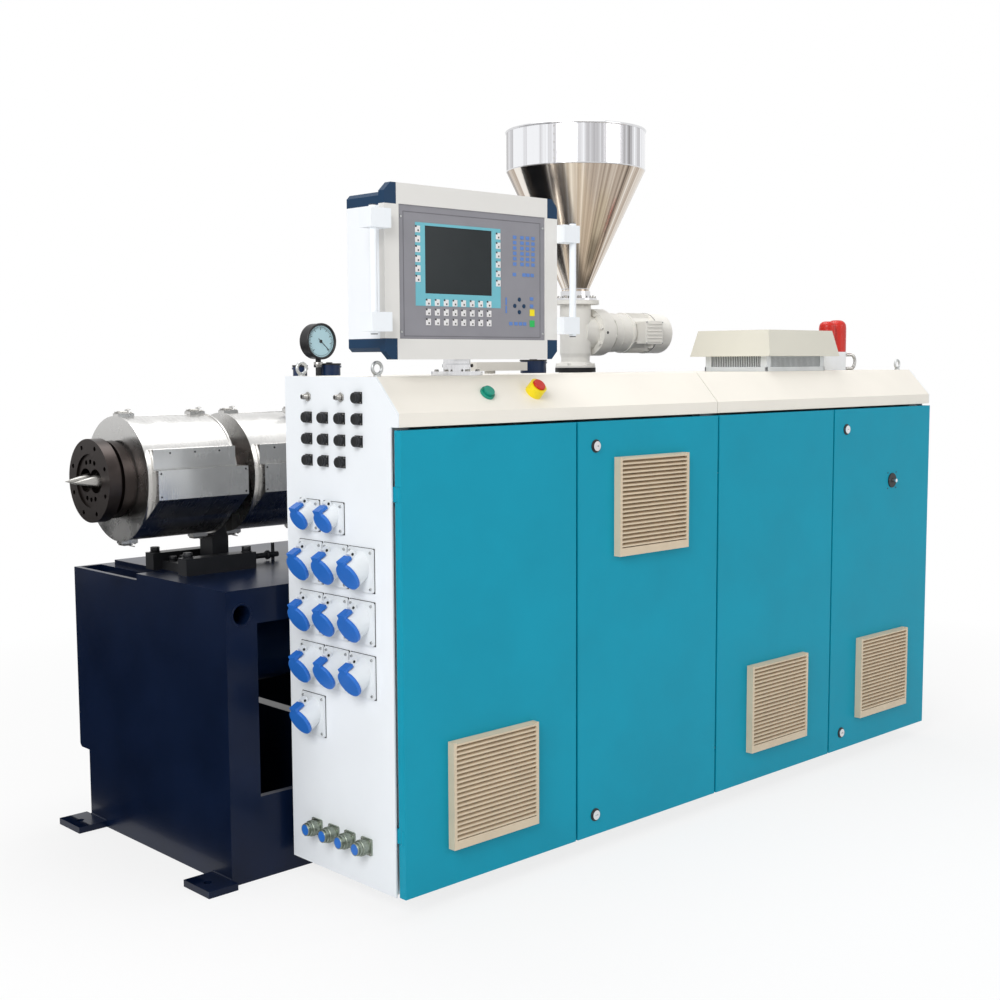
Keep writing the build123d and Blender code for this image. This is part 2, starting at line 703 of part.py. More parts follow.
def zone_box():
    """Flat junction box for the heater zones, on a post from the barrel."""
    length, width, height = ZONE_BOX
    box = Pos(ZONE_BOX_X, AXIS_Y, ZONE_BOX_Z + height / 2) * Box(length, width, height)
    post = rod_z(ZONE_BOX_X, AXIS_Y, AXIS_Z, ZONE_BOX_Z, ZONE_POST_R)
    hole = rod_x(ZONE_BOX_X - length, ZONE_BOX_X + length, AXIS_Y, AXIS_Z, BARREL_R + COVER_CLEARANCE)
    return box + (post - hole)


def vacuum_gauge():
    """Dial gauge on a stem from the vent block, facing the doors."""
    foot = AXIS_Z + BARREL_R + VENT_BLOCK_RISE
    front = GAUGE_Y - GAUGE_DEPTH / 2
    stem = rod_z(GAUGE_X, GAUGE_Y, foot, GAUGE_Z, GAUGE_STEM_R)
    case = rod_y(GAUGE_X, front, front + GAUGE_DEPTH, GAUGE_Z, GAUGE_R)
    face = rod_y(GAUGE_X, front - 1, front + GAUGE_RECESS, GAUGE_Z, GAUGE_R - GAUGE_RIM)
    return stem + case - face


# Feed section, feeder and hopper
def feed_section():
    """Cast feed block at the end of the barrel with the throat that carries the feeder."""
    length, width, height = FEED_BLOCK
    cast = block(FEED_X - length / 2, GEARBOX_X, AXIS_Y - width / 2, AXIS_Y + width / 2,
                 AXIS_Z - height / 2, AXIS_Z + height / 2)
    throat = rod_z(FEED_X, AXIS_Y, AXIS_Z, FEEDER_BOTTOM - GASKET_T, THROAT_R)
    collar = rod_z(FEED_X, AXIS_Y, AXIS_Z + height / 2, AXIS_Z + height / 2 + FEEDER_FLANGE, GASKET_R)
    gasket = rod_z(FEED_X, AXIS_Y, FEEDER_BOTTOM - GASKET_T, FEEDER_BOTTOM, GASKET_R)
    return fused(cast, throat, collar, gasket)


def feeder_body():
    """Cast feeder housing: foot flange, waist, body, top flange and the side boss for the drive."""
    waist = FEEDER_BOTTOM + FEEDER_FLANGE
    flare = DRIVE_Z - DRIVE_BOSS_R - 2 * FEEDER_FLANGE
    profile = [
        (0, FEEDER_BOTTOM),
        (FEEDER_FLANGE_R, FEEDER_BOTTOM),
        (FEEDER_FLANGE_R, waist),
        (FEEDER_NECK_R, waist + FEEDER_FLANGE),
        (FEEDER_NECK_R, flare),
        (FEEDER_BODY_R, flare + FEEDER_FLANGE),
        (FEEDER_BODY_R, FEEDER_TOP - FEEDER_TOP_FLANGE),
        (FEEDER_TOP_FLANGE_R, FEEDER_TOP - FEEDER_TOP_FLANGE),
        (FEEDER_TOP_FLANGE_R, FEEDER_TOP),
        (0, FEEDER_TOP),
    ]
    face = make_face(Polyline(*profile, close=True))
    body = Pos(FEED_X, AXIS_Y, 0) * revolve(Plane.XZ * face, Axis.Z)
    boss = rod_x(FEED_X, DRIVE_FLANGE_X - DRIVE_FLANGE, AXIS_Y, DRIVE_Z, DRIVE_BOSS_R)
    flange = rod_x(DRIVE_FLANGE_X - DRIVE_FLANGE, DRIVE_FLANGE_X, AXIS_Y, DRIVE_Z, DRIVE_FLANGE_R)
    return fused(body, boss, flange)


def feeder_drive():
    """Gear motor of the feeder: gear case, finned motor, fan cowl and terminal box."""
    neck = rod_x(DRIVE_FLANGE_X, DRIVE_FLANGE_X + DRIVE_FLANGE / 2, AXIS_Y, DRIVE_Z, DRIVE_FLANGE_R)
    gear = rod_x(DRIVE_FLANGE_X, DRIVE_GEAR_END, AXIS_Y, DRIVE_Z, DRIVE_GEAR_R)
    motor = rod_x(DRIVE_GEAR_END, DRIVE_MOTOR_END, AXIS_Y, DRIVE_Z, DRIVE_MOTOR_R)
    cowl = rod_x(DRIVE_MOTOR_END, DRIVE_END, AXIS_Y, DRIVE_Z, DRIVE_FAN_R)
    cowl = fillet(cowl.edges().filter_by(GeomType.CIRCLE).sort_by(Axis.X)[-1], DRIVE_FIN)
    length, depth, height = DRIVE_BOX
    middle_x = (DRIVE_GEAR_END + DRIVE_MOTOR_END) / 2
    box_y = AXIS_Y - DRIVE_MOTOR_R - depth / 2
    box = Pos(middle_x, box_y + DRIVE_FIN, DRIVE_Z) * Box(length, depth + DRIVE_FIN, height)
    body = fused(neck, gear, motor, cowl, box)
    fin_r = DRIVE_MOTOR_R + DRIVE_FIN
    for step in range(-2, 3):
        for side in (-1, 1):
            z = DRIVE_Z + step * 2 * DRIVE_FIN
            reach = math.sqrt(fin_r**2 - (step * 2 * DRIVE_FIN) ** 2)
            fin_y = AXIS_Y + side * reach / 2
            if side > 0 or abs(step) == 2:
                fin = Pos(middle_x, fin_y, z) * Box(DRIVE_MOTOR_END - DRIVE_GEAR_END, reach, DRIVE_FIN / 2)
                body = body + fin
    for step in range(-2, 3):
        for side in (-1, 1):
            y = AXIS_Y + step * 2 * DRIVE_FIN
            reach = math.sqrt(fin_r**2 - (step * 2 * DRIVE_FIN) ** 2)
            fin = Pos(middle_x, y, DRIVE_Z + side * reach / 2) * Box(
                DRIVE_MOTOR_END - DRIVE_GEAR_END, DRIVE_FIN / 2, reach)
            body = body + fin
    return body


def hopper():
    """Spun sheet hopper: straight band, cone and spout, open at the top."""
    outer = [
        (HOPPER_SPOUT_R, SPOUT_BOTTOM),
        (HOPPER_SPOUT_R, HOPPER_CONE_BOTTOM),
        (HOPPER_R, HOPPER_TOP - HOPPER_BAND),
        (HOPPER_R, HOPPER_TOP),
    ]
    inner = [(radius - HOPPER_SHEET, z) for radius, z in reversed(outer)]
    face = make_face(Polyline(*outer, *inner, close=True))
    return Pos(FEED_X, AXIS_Y, 0) * revolve(Plane.XZ * face, Axis.Z)


# Gearbox and main motor
def gearbox():
    """Ribbed cast gearbox on its foot plate."""
    half = GEARBOX_WIDTH / 2
    case = block(GEARBOX_X, GEARBOX_END, AXIS_Y - half, AXIS_Y + half, DECK_TOP + GEARBOX_FOOT, GEARBOX_TOP)
    case = fillet(case.edges().filter_by(Axis.X), GEARBOX_ROUND)
    foot_half = half + GEARBOX_FOOT_PROUD
    foot = block(GEARBOX_X, GEARBOX_END, AXIS_Y - foot_half, AXIS_Y + foot_half,
                 DECK_TOP, DECK_TOP + GEARBOX_FOOT + GEARBOX_ROUND)
    body = case + foot
    spacing = (GEARBOX_END - GEARBOX_X) / (GEARBOX_RIBS + 1)
    for index in range(GEARBOX_RIBS):
        x = GEARBOX_X + spacing * (index + 1)
        rib = block(x - GEARBOX_RIB / 2, x + GEARBOX_RIB / 2, AXIS_Y - half - GEARBOX_RIB,
                    AXIS_Y + half + GEARBOX_RIB, DECK_TOP + GEARBOX_FOOT, GEARBOX_TOP - GEARBOX_ROUND)
        body = body + rib
    return body


def coupling_guard():
    """Round guard between gearbox and motor."""
    return rod_x(GEARBOX_END, COUPLING_END, AXIS_Y, AXIS_Z, COUPLING_R)


def main_motor():
    """Finned main motor on its feet, with the terminal box on top."""
    body = rod_x(COUPLING_END, MOTOR_END, AXIS_Y, AXIS_Z, MOTOR_R)
    fin_length = MOTOR_END - COUPLING_END - 2 * MOTOR_FIN
    for index in range(MOTOR_FINS):
        angle = 360 / MOTOR_FINS * index
        fin = Pos(0, 0, MOTOR_R) * Box(fin_length, MOTOR_FIN_WIDTH, 2 * MOTOR_FIN)
        body = body + Pos((COUPLING_END + MOTOR_END) / 2, AXIS_Y, AXIS_Z) * Rot(angle, 0, 0) * fin
    length, width, height = MOTOR_BOX
    box_z = AXIS_Z + MOTOR_R + MOTOR_FIN
    box = Pos((COUPLING_END + MOTOR_END) / 2, AXIS_Y, box_z + height / 2 - MOTOR_FIN) * Box(
        length, width, height + 2 * MOTOR_FIN)
    body = body + box
    half = MOTOR_FOOT_WIDTH / 2
    for x in (COUPLING_END + MOTOR_FIN, MOTOR_END - MOTOR_FIN - MOTOR_LEG):
        foot = block(x, x + MOTOR_LEG, AXIS_Y - half, AXIS_Y + half, DECK_TOP, DECK_TOP + MOTOR_FOOT)
        leg = block(x, x + MOTOR_LEG, AXIS_Y - half + MOTOR_LEG, AXIS_Y + half - MOTOR_LEG,
                    DECK_TOP, AXIS_Z - MOTOR_R / 2)
        body = fused(body, foot, leg)
    cowl = rod_x(MOTOR_END, MOTOR_FAN_END, AXIS_Y, AXIS_Z, MOTOR_OUTER_R)
    cowl = fillet(cowl.edges().filter_by(GeomType.CIRCLE).sort_by(Axis.X)[-1], MOTOR_FIN)
    return body + cowl


def water_tank():
    """Round tank hung under the deck."""
    tank = rod_x(TANK_X, TANK_END, TANK_Y, TANK_Z, TANK_R)
    tank = fillet(tank.edges().filter_by(GeomType.CIRCLE), TANK_DISH)
    straps = []
    for x in (TANK_X + 2 * TANK_DISH, TANK_END - 2 * TANK_DISH):
        straps.append(block(x - TANK_DISH / 2, x + TANK_DISH / 2, TANK_Y - TANK_R / 2, TANK_Y + TANK_R / 2,
                            TANK_Z, DECK_TOP - DECK_PLATE))
    return fused(tank, *straps)


# Cabinet
def end_panel(x0):
    """An end wall whose outline follows the cover's slope."""
    outline = [
        (PANEL_FRONT, CABINET_BOTTOM),
        (CABINET_BACK, CABINET_BOTTOM),
        (CABINET_BACK, CABINET_TOP),
        (RIDGE_Y, CABINET_TOP),
        (RIM_FRONT, RIM_TOP),
        (RIM_FRONT, RIM_BOTTOM),
        (PANEL_FRONT, RIM_BOTTOM),
    ]
    return prism_x(outline, x0, x0 + END_PANEL)


def cover(x0, x1):
    """One half of the folded top cover: rim, slope, flat top and back lip."""
    t = COVER_SHEET
    slope = math.radians(SLOPE_ANGLE)
    inner_ridge_y = RIDGE_Y + t * math.tan(slope / 2)
    inner_rim_z = RIM_TOP - t * math.tan((math.pi / 2 - slope) / 2)
    outline = [
        (RIM_FRONT, RIM_BOTTOM),
        (RIM_FRONT, RIM_TOP),
        (RIDGE_Y, CABINET_TOP),
        (CABINET_BACK, CABINET_TOP),
        (CABINET_BACK, RIM_TOP),
        (CABINET_BACK - t, RIM_TOP),
        (CABINET_BACK - t, CABINET_TOP - t),
        (inner_ridge_y, CABINET_TOP - t),
        (RIM_FRONT + t, inner_rim_z),
        (RIM_FRONT + t, RIM_BOTTOM),
    ]
    return prism_x(outline, x0, x1)


def cabinet_back():
    """Back wall between the end panels, under the cover's back lip."""
    return block(END_PANEL, CABINET_LENGTH - END_PANEL, CABINET_BACK - SHEET - COVER_SHEET,
                 CABINET_BACK - COVER_SHEET, CABINET_BOTTOM, CABINET_TOP - COVER_SHEET)


def cabinet_ties():
    """Spacer blocks that bolt the cabinet's back to the base."""
    z0 = (RAIL_BOTTOM + DECK_TOP - DECK_PLATE - TIE_HEIGHT) / 2
    ties = []
    for x in TIES_X:
        ties.append(block(x, x + TIE_WIDTH, CABINET_BACK - COVER_SHEET, BASE_NEAR_Y, z0, z0 + TIE_HEIGHT))
    return joined(ties)


def cabinet_base():
    """Floor plate of the cabinet on its set-back plinth."""
    floor = block(END_PANEL, CABINET_LENGTH - END_PANEL, POST_FRONT, CABINET_BACK - SHEET - COVER_SHEET,
                  CABINET_BOTTOM, CABINET_BOTTOM + SHEET)
    plinth = block(PLINTH_INSET, CABINET_LENGTH - PLINTH_INSET, PLINTH_INSET, CABINET_BACK - PLINTH_INSET / 3,
                   0, CABINET_BOTTOM)
    return floor + plinth


def cabinet_frame():
    """Upright posts at the ends and between the two bays, under a header rail."""
    bottom = CABINET_BOTTOM + SHEET
    back = POST_FRONT + POST_DEPTH
    frame = block(END_PANEL, CABINET_LENGTH - END_PANEL, POST_FRONT, back, RIM_BOTTOM, RIM_TOP)
    half = POST_WIDTH / 2
    for middle in (END_PANEL + half, CABINET_LENGTH / 2, CABINET_LENGTH - END_PANEL - half):
        frame = frame + block(middle - half, middle + half, POST_FRONT, back, bottom, RIM_TOP)
    return frame


def mounting_plates():
    """Plain plates inside the two bays, held off the back wall by their rails."""
    plates = []
    back = CABINET_BACK - SHEET - COVER_SHEET
    for bay in (0, 1):
        x0 = bay * CABINET_LENGTH / 2 + POST_WIDTH
        x1 = (bay + 1) * CABINET_LENGTH / 2 - POST_WIDTH
        z0 = CABINET_BOTTOM + POST_WIDTH
        z1 = RIM_BOTTOM - POST_WIDTH
        plate = block(x0, x1, back - POST_DEPTH, back - POST_DEPTH + SHEET, z0, z1)
        for x in (x0, x1 - POST_DEPTH):
            plate = plate + block(x, x + POST_DEPTH, back - POST_DEPTH + SHEET, back, z0, z1)
        plates.append(plate)
    return joined(plates)


def door_span(index):
    """Left and right edge of a door."""
    x0 = DOOR_PITCH * index + DOOR_SEAM / 2
    return x0, x0 + DOOR_WIDTH


def hinge_side(index):
    """-1 where a door hinges at its left edge, 1 at its right."""
    return -1 if index % 2 == 0 else 1


def hinge_x(index):
    """Where a door's hinge axis stands."""
    x0, x1 = door_span(index)
    inset = HINGE_INSET_END if index in (0, DOOR_COUNT - 1) else HINGE_INSET_MIDDLE
    return x0 + inset if hinge_side(index) < 0 else x1 - inset


def hinge_heights():
    """Middle heights of a door's hinges."""
    return (DOOR_BOTTOM + HINGE_END_DISTANCE, DOOR_TOP - HINGE_END_DISTANCE)


def door(index):
    """Folded door pan with return edges, cut back at the hinges, and its hinge pins on lugs."""
    x0, x1 = door_span(index)
    pan = block(x0, x1, 0, DOOR_DEPTH, DOOR_BOTTOM, DOOR_TOP)
    pan = pan - block(x0 + SHEET, x1 - SHEET, SHEET, DOOR_DEPTH + 1, DOOR_BOTTOM + SHEET, DOOR_TOP - SHEET)
    side = hinge_side(index)
    axis_x = hinge_x(index)
    edge = x0 if side < 0 else x1
    for z in hinge_heights():
        reach = HINGE_BOSS_LENGTH / 2 + HINGE_GAP
        notch_y = HINGE_DEPTH - HINGE_BOSS_R - HINGE_GAP
        half = (HINGE_BOSS_LENGTH + HINGE_GAP) / 2
        notch = block(min(edge, edge - side * SHEET) - 1, max(edge, edge - side * SHEET) + 1, notch_y,
                      DOOR_DEPTH + 1, z - half, z + half)
        pan = pan - notch
        pin = rod_z(axis_x, HINGE_DEPTH, z - reach - HINGE_LUG, z + reach + HINGE_LUG, HINGE_PIN_R)
        pan = pan + pin
        for low in (z - reach - HINGE_LUG, z + reach):
            pan = pan + block(axis_x - HINGE_PIN_R, axis_x + HINGE_PIN_R, SHEET / 2,
                              HINGE_DEPTH + HINGE_PIN_R, low, low + HINGE_LUG)
    return pan


def hinge_brackets():
    """Arms from the posts with a boss round each hinge pin."""
    brackets = []
    for index in range(DOOR_COUNT):
        x = hinge_x(index)
        for z in hinge_heights():
            half = HINGE_BOSS_LENGTH / 2
            boss = rod_z(x, HINGE_DEPTH, z - half, z + half, HINGE_BOSS_R)
            arm = block(x - HINGE_ARM / 2, x + HINGE_ARM / 2, HINGE_DEPTH, POST_FRONT, z - half, z + half)
            hole = rod_z(x, HINGE_DEPTH, z - half - 1, z + half + 1, HINGE_PIN_R + HINGE_CLEARANCE)
            brackets.append(boss + arm - hole)
    return joined(brackets)


def grille(index):
    """Filter grille: a frame with a foot strip and slanting louvres over a back plate."""
    door_x, _ = door_span(index)
    x0 = door_x + GRILLES_LEFT[index]
    x1 = x0 + GRILLE_WIDTH
    z0 = DOOR_BOTTOM + GRILLE_RAISE
    if index == GRILLE_HIGH_DOOR:
        z0 = DOOR_TOP - GRILLE_DROP - GRILLE_HEIGHT
    z1 = z0 + GRILLE_HEIGHT
    body = block(x0, x1, -GRILLE_BACK, 0, z0, z1)
    for x in (x0, x1 - GRILLE_RIM):
        body = body + block(x, x + GRILLE_RIM, -GRILLE_DEPTH, 0, z0, z1)
    body = body + block(x0, x1, -GRILLE_DEPTH, 0, z0, z0 + GRILLE_FOOT)
    pitch = (GRILLE_HEIGHT - GRILLE_FOOT) / GRILLE_LOUVRES
    for step in range(GRILLE_LOUVRES):
        low = z0 + GRILLE_FOOT + pitch * step
        slat = [
            (-GRILLE_BACK, low + pitch * SLAT_BACK_LOW),
            (-GRILLE_DEPTH, low + pitch * SLAT_FRONT_LOW),
            (-GRILLE_DEPTH, low + pitch * SLAT_FRONT_HIGH),
            (-GRILLE_BACK, low + pitch),
        ]
        body = body + prism_x(slat, x0 + GRILLE_RIM / 2, x1 - GRILLE_RIM / 2)
    return body


def door_locks(index):
    """The two quarter-turn locks of a door, with a key slot in each head."""
    x0, x1 = door_span(index)
    x = x0 + LOCK_INSET if hinge_side(index) > 0 else x1 - LOCK_INSET
    locks = []
    for z in (DOOR_BOTTOM + LOCK_FROM_BOTTOM, DOOR_TOP - LOCK_FROM_TOP):
        head = rod_y(x, -LOCK_HEAD, 0, z, LOCK_R)
        locks.append(head - Pos(x, -LOCK_HEAD, z) * Box(LOCK_R, LOCK_HEAD, LOCK_R / 3))
    return locks


def isolator():
    """Bare isolator shaft standing out of its escutcheon on the last door."""
    ring = rod_y(ISOLATOR_X, -LOCK_HEAD / 2, 0, ISOLATOR_Z, 2 * ISOLATOR_R)
    ring = ring - rod_y(ISOLATOR_X, -LOCK_HEAD, 0, ISOLATOR_Z, ISOLATOR_R)
    shaft = rod_y(ISOLATOR_X, -ISOLATOR_SHAFT_LENGTH, 0, ISOLATOR_Z, ISOLATOR_SHAFT_R)
    return joined([ring, shaft])


# Buttons on the slope
def slope_frame(x):
    """Plane on the slope at a button, its normal out of the slope."""
    share = BUTTON_UP_SLOPE / math.hypot(RIDGE_SETBACK, CABINET_TOP - RIM_TOP)
    y = RIM_FRONT + RIDGE_SETBACK * share
    z = RIM_TOP + (CABINET_TOP - RIM_TOP) * share
    slope = math.radians(SLOPE_ANGLE)
    return Plane((x, y, z), x_dir=(1, 0, 0), z_dir=(0, -math.sin(slope), math.cos(slope)))


def collar(x, radius, height, bore):
    """Ring on the slope that holds a button."""
    ring = Pos(0, 0, height / 2) * Cylinder(radius, height)
    hole = Pos(0, 0, COLLAR_FLOOR + height) * Cylinder(bore, 2 * height)
    return slope_frame(x) * (ring - hole)


def button(x, radius, collar_height, proud, travel):
    """Button cap in its collar, clear of the collar's floor by more than its travel."""
    low = COLLAR_FLOOR + travel + BUTTON_END_CLEARANCE
    top = collar_height + proud
    cap = Pos(0, 0, (low + top) / 2) * Cylinder(radius, top - low)
    cap = fillet(cap.edges().filter_by(GeomType.CIRCLE).sort_by(Axis.Z)[-1], radius / BUTTON_ROUND)
    return slope_frame(x) * cap


# End panel fittings
def socket_places():
    """Centre (y, z), flange size and barrel radius of every socket."""
    places = [(y, CABINET_TOP - SMALL_SOCKET_ROW, SMALL_SOCKET, SMALL_SOCKET_R) for y in SMALL_SOCKETS_Y]
    columns = [SOCKET_FIRST_Y + SOCKET_COLUMN * column for column in range(SOCKET_COLUMNS)]
    for drop in SOCKET_ROWS:
        for y in columns:
            places.append((y, CABINET_TOP - drop, BIG_SOCKET, BIG_SOCKET_R))
    places.append((columns[-1], CABINET_TOP - SOCKET_LAST, BIG_SOCKET, BIG_SOCKET_R))
    return places


def socket_frame(y, z, radius):
    """Plane across a socket's tilted barrel where it leaves the flange, its normal out of the mouth."""
    tilt = math.radians(SOCKET_TILT)
    rise = radius * math.sin(tilt) / 2
    return Plane((-SOCKET_FLANGE, y, z + rise), x_dir=(0, -1, 0), z_dir=(-math.cos(tilt), 0, -math.sin(tilt)))


def sockets():
    """Flange, tilted round barrel and hinge block of each socket."""
    pieces = []
    for y, z, (width, height), radius in socket_places():
        flange = block(-SOCKET_FLANGE, 0, y - width / 2, y + width / 2, z - height / 2, z + height / 2)
        flange = fillet(flange.edges().filter_by(Axis.X), SOCKET_FLANGE)
        reach = SOCKET_REACH * radius / BIG_SOCKET_R
        frame = socket_frame(y, z, radius)
        barrel_piece = frame * Pos(0, 0, (reach - 2 * radius) / 2) * Cylinder(radius, reach + 2 * radius)
        outside = block(-4 * SOCKET_REACH, -SOCKET_FLANGE / 2, y - width, y + width, z - height, z + height)
        hinge_at = reach - SOCKET_ARM_BACK - SOCKET_HINGE / 2 - SOCKET_LID_PROUD
        hinge = frame * Pos(0, radius, hinge_at) * Box(SOCKET_ARM / 2, SOCKET_HINGE_TALL, SOCKET_HINGE)
        pieces.append(fused(flange, barrel_piece & outside, hinge & outside))
    return joined(pieces)


def socket_lids():
    """Sprung blue lid of each socket: the disc over the mouth and the arm that runs back to its hinge."""
    lids = []
    for y, z, _, radius in socket_places():
        reach = SOCKET_REACH * radius / BIG_SOCKET_R
        disc_r = radius + SOCKET_LID_PROUD
        disc = Pos(0, 0, reach + SOCKET_LID / 2) * Cylinder(disc_r, SOCKET_LID)
        disc = fillet(disc.edges().filter_by(GeomType.CIRCLE).sort_by(Axis.Z)[-1], SOCKET_LID / 3)
        tab_height = 2 * (SOCKET_STRAP + SOCKET_LID_PROUD)
        tab = Pos(0, radius, reach + SOCKET_LID / 2) * Box(SOCKET_ARM, tab_height, SOCKET_LID)
        strap_length = SOCKET_ARM_BACK + SOCKET_LID
        strap = Pos(0, disc_r + SOCKET_STRAP / 2, reach + SOCKET_LID - strap_length / 2) * Box(
            SOCKET_ARM, SOCKET_STRAP, strap_length)
        lids.append(socket_frame(y, z, radius) * fused(disc, tab, strap))
    return joined(lids)


def signal_connectors():
    """Small panel connectors: the first row has two bare coaxial ones, and the last is one short."""
    pieces = []
    for row, drop in enumerate(SIGNAL_ROWS):
        z = CABINET_TOP - drop
        for column, y in enumerate(SIGNAL_COLUMNS_Y):
            first_gap = row == 0 and column == 1
            last_gap = row == len(SIGNAL_ROWS) - 1 and column == len(SIGNAL_COLUMNS_Y) - 1
            if first_gap or last_gap:
                continue
            if row == 0 and column in (0, 2):
                nut = rod_x(-SIGNAL_PLATE, 0, y, z, COAX_NUT_R)
                pieces.append(nut + rod_x(-COAX_REACH, 0, y, z, COAX_R))
                continue
            half = SIGNAL_FLANGE / 2
            plate = block(-SIGNAL_PLATE, 0, y - half, y + half, z - half, z + half)
            pieces.append(plate + rod_x(-SIGNAL_REACH, 0, y, z, SIGNAL_R))
    return joined(pieces)


def power_connectors():
    """Row of round power connectors on square flanges, each with its cap."""
    pieces = []
    for y in POWER_COLUMNS_Y:
        half = POWER_FLANGE / 2
        plate = block(-POWER_PLATE, 0, y - half, y + half, POWER_Z - half, POWER_Z + half)
        plate = fillet(plate.edges().filter_by(Axis.X), POWER_PLATE)
        shell = rod_x(-POWER_REACH, 0, y, POWER_Z, POWER_R)
        cap = rod_x(-POWER_REACH - POWER_CAP, -POWER_REACH, y, POWER_Z, POWER_R - POWER_CAP / 2)
        pieces.append(fused(plate, shell, cap))
    return joined(pieces)


# Operator panel
def hmi_middle():
    """Middle x of the panel."""
    return HMI_LEFT + HMI_WIDTH / 2


def hmi_outline(inset, y):
    """The panel's outline at a depth, its corners cut off, drawn in by an inset."""
    width = HMI_WIDTH - 2 * inset
    height = HMI_HEIGHT - 2 * inset
    cut = HMI_CORNER_CUT - inset * (2 - math.sqrt(2))
    middle = Plane((hmi_middle(), y, HMI_BOTTOM + HMI_HEIGHT / 2), x_dir=(1, 0, 0), z_dir=(0, 1, 0))
    outline = Rectangle(width, height)
    return middle * chamfer(outline.vertices(), cut)


def hmi_shell():
    """Whole outer form: front frame, flare and the smaller box behind."""
    front_end = HMI_FRONT + HMI_FRAME_DEPTH
    flare_end = front_end + HMI_FLARE_DEPTH
    frame = extrude(hmi_outline(0, HMI_FRONT), amount=HMI_FRAME_DEPTH)
    flare = loft([hmi_outline(0, front_end), hmi_outline(HMI_BACK_STEP, flare_end)])
    back = extrude(hmi_outline(HMI_BACK_STEP, flare_end), amount=HMI_BACK_DEPTH)
    return fused(frame, flare, back)


def hmi_corner_blocks():
    """Blocks that cut the four corners out of the panel's form, over its whole depth."""
    across, tall = HMI_CORNER
    y0 = HMI_FRONT - 1
    y1 = HMI_FRONT + HMI_FRAME_DEPTH + HMI_FLARE_DEPTH + HMI_BACK_DEPTH + 1
    blocks = []
    for x0 in (HMI_LEFT - 1, HMI_LEFT + HMI_WIDTH - across):
        for z0 in (HMI_BOTTOM - 1, HMI_BOTTOM + HMI_HEIGHT - tall):
            blocks.append(block(x0, x0 + across + 1, y0, y1, z0, z0 + tall + 1))
    return blocks


def hmi_housing():
    """Panel housing without its corner pieces, with the seat of the keypad plate and the swivel's socket."""
    body = hmi_shell()
    for corner in hmi_corner_blocks():
        body = body - corner
    width, height = HMI_PLATE
    x0 = hmi_middle() - width / 2
    z0 = HMI_BOTTOM + (HMI_HEIGHT - height) / 2
    seat = block(x0, x0 + width, HMI_FRONT - 1, HMI_FRONT + HMI_PLATE_RECESS + HMI_PLATE_T, z0, z0 + height)
    collar_low = swivel_top() + SWIVEL_GAP
    stem = rod_z(SWIVEL_X, SWIVEL_Y, collar_low, HMI_BOTTOM + HMI_HEIGHT / 2, SWIVEL_COLLAR_R)
    socket = rod_z(SWIVEL_X, SWIVEL_Y, collar_low - 1, collar_low + SWIVEL_PIN_LENGTH,
                   SWIVEL_PIN_R + SWIVEL_GAP)
    return fused(body - seat, stem) - socket


def hmi_corners():
    """Dark corner pieces over the panel's whole depth."""
    shell = hmi_shell()
    return joined([shell & corner for corner in hmi_corner_blocks()])


def hmi_plate():
    """Grey keypad plate in the frame, cut out for the screen."""
    width, height = HMI_PLATE
    x0 = hmi_middle() - width / 2
    z0 = HMI_BOTTOM + (HMI_HEIGHT - height) / 2
    y0 = HMI_FRONT + HMI_PLATE_RECESS
    plate = block(x0, x0 + width, y0, y0 + HMI_PLATE_T, z0, z0 + height)
    sx, sz, sw, sh = screen_place()
    return plate - block(sx, sx + sw, y0 - 1, y0 + SCREEN_T, sz, sz + sh)


def hmi_screen():
    """Dark screen set in the keypad plate."""
    sx, sz, sw, sh = screen_place()
    y0 = HMI_FRONT + HMI_PLATE_RECESS
    return block(sx, sx + sw, y0 + SCREEN_T / 2, y0 + SCREEN_T, sz, sz + sh)


def hmi_handles():
    """Tube handles on bracket blocks that stand forward from both ends of the frame."""
    handles = []
    deep, tall = HANDLE_BRACKET
    y0 = HMI_FRONT + HMI_FRAME_DEPTH - deep
    for side in (-1, 1):
        wall = HMI_LEFT if side < 0 else HMI_LEFT + HMI_WIDTH
        tube_x = wall + side * HANDLE_REACH
        low = HMI_BOTTOM + HMI_CORNER[1] + HANDLE_DROP / 2
        high = HMI_BOTTOM + HMI_HEIGHT - HMI_CORNER[1] - HANDLE_DROP / 2
        piece = rod_z(tube_x, y0 + HANDLE_INSET, low - HANDLE_LIP, high + HANDLE_LIP, HANDLE_R)
        for z in (low, high - tall):
            far = tube_x + side * (HANDLE_R + HANDLE_LIP)
            piece = piece + block(min(wall, far), max(wall, far), y0, y0 + deep, z, z + tall)
        handles.append(piece)
    return joined(handles)


def swivel_top():
    """Top of the fixed part of the swivel."""
    return HMI_BOTTOM + HMI_BACK_STEP - SWIVEL_COLLAR


def screen_place():
    """Left, bottom, width and height of the screen."""
    width, height = SCREEN_SIZE
    x0 = hmi_middle() - HMI_PLATE[0] / 2 + SCREEN_LEFT
    z0 = HMI_BOTTOM + HMI_HEIGHT / 2 + HMI_PLATE[1] / 2 - SCREEN_TOP_GAP - height
    return x0, z0, width, height


def hmi_pedestal():
    """Fixed flange, tube and pivot pin of the panel's swivel."""
    top = swivel_top()
    flange = rod_z(SWIVEL_X, SWIVEL_Y, CABINET_TOP, CABINET_TOP + SWIVEL_FLANGE, SWIVEL_FLANGE_R)
    tube = rod_z(SWIVEL_X, SWIVEL_Y, CABINET_TOP, top, SWIVEL_TUBE_R)
    pin = rod_z(SWIVEL_X, SWIVEL_Y, top, top + SWIVEL_PIN_LENGTH - SWIVEL_END_GAP, SWIVEL_PIN_R)
    return fused(flange, tube, pin)


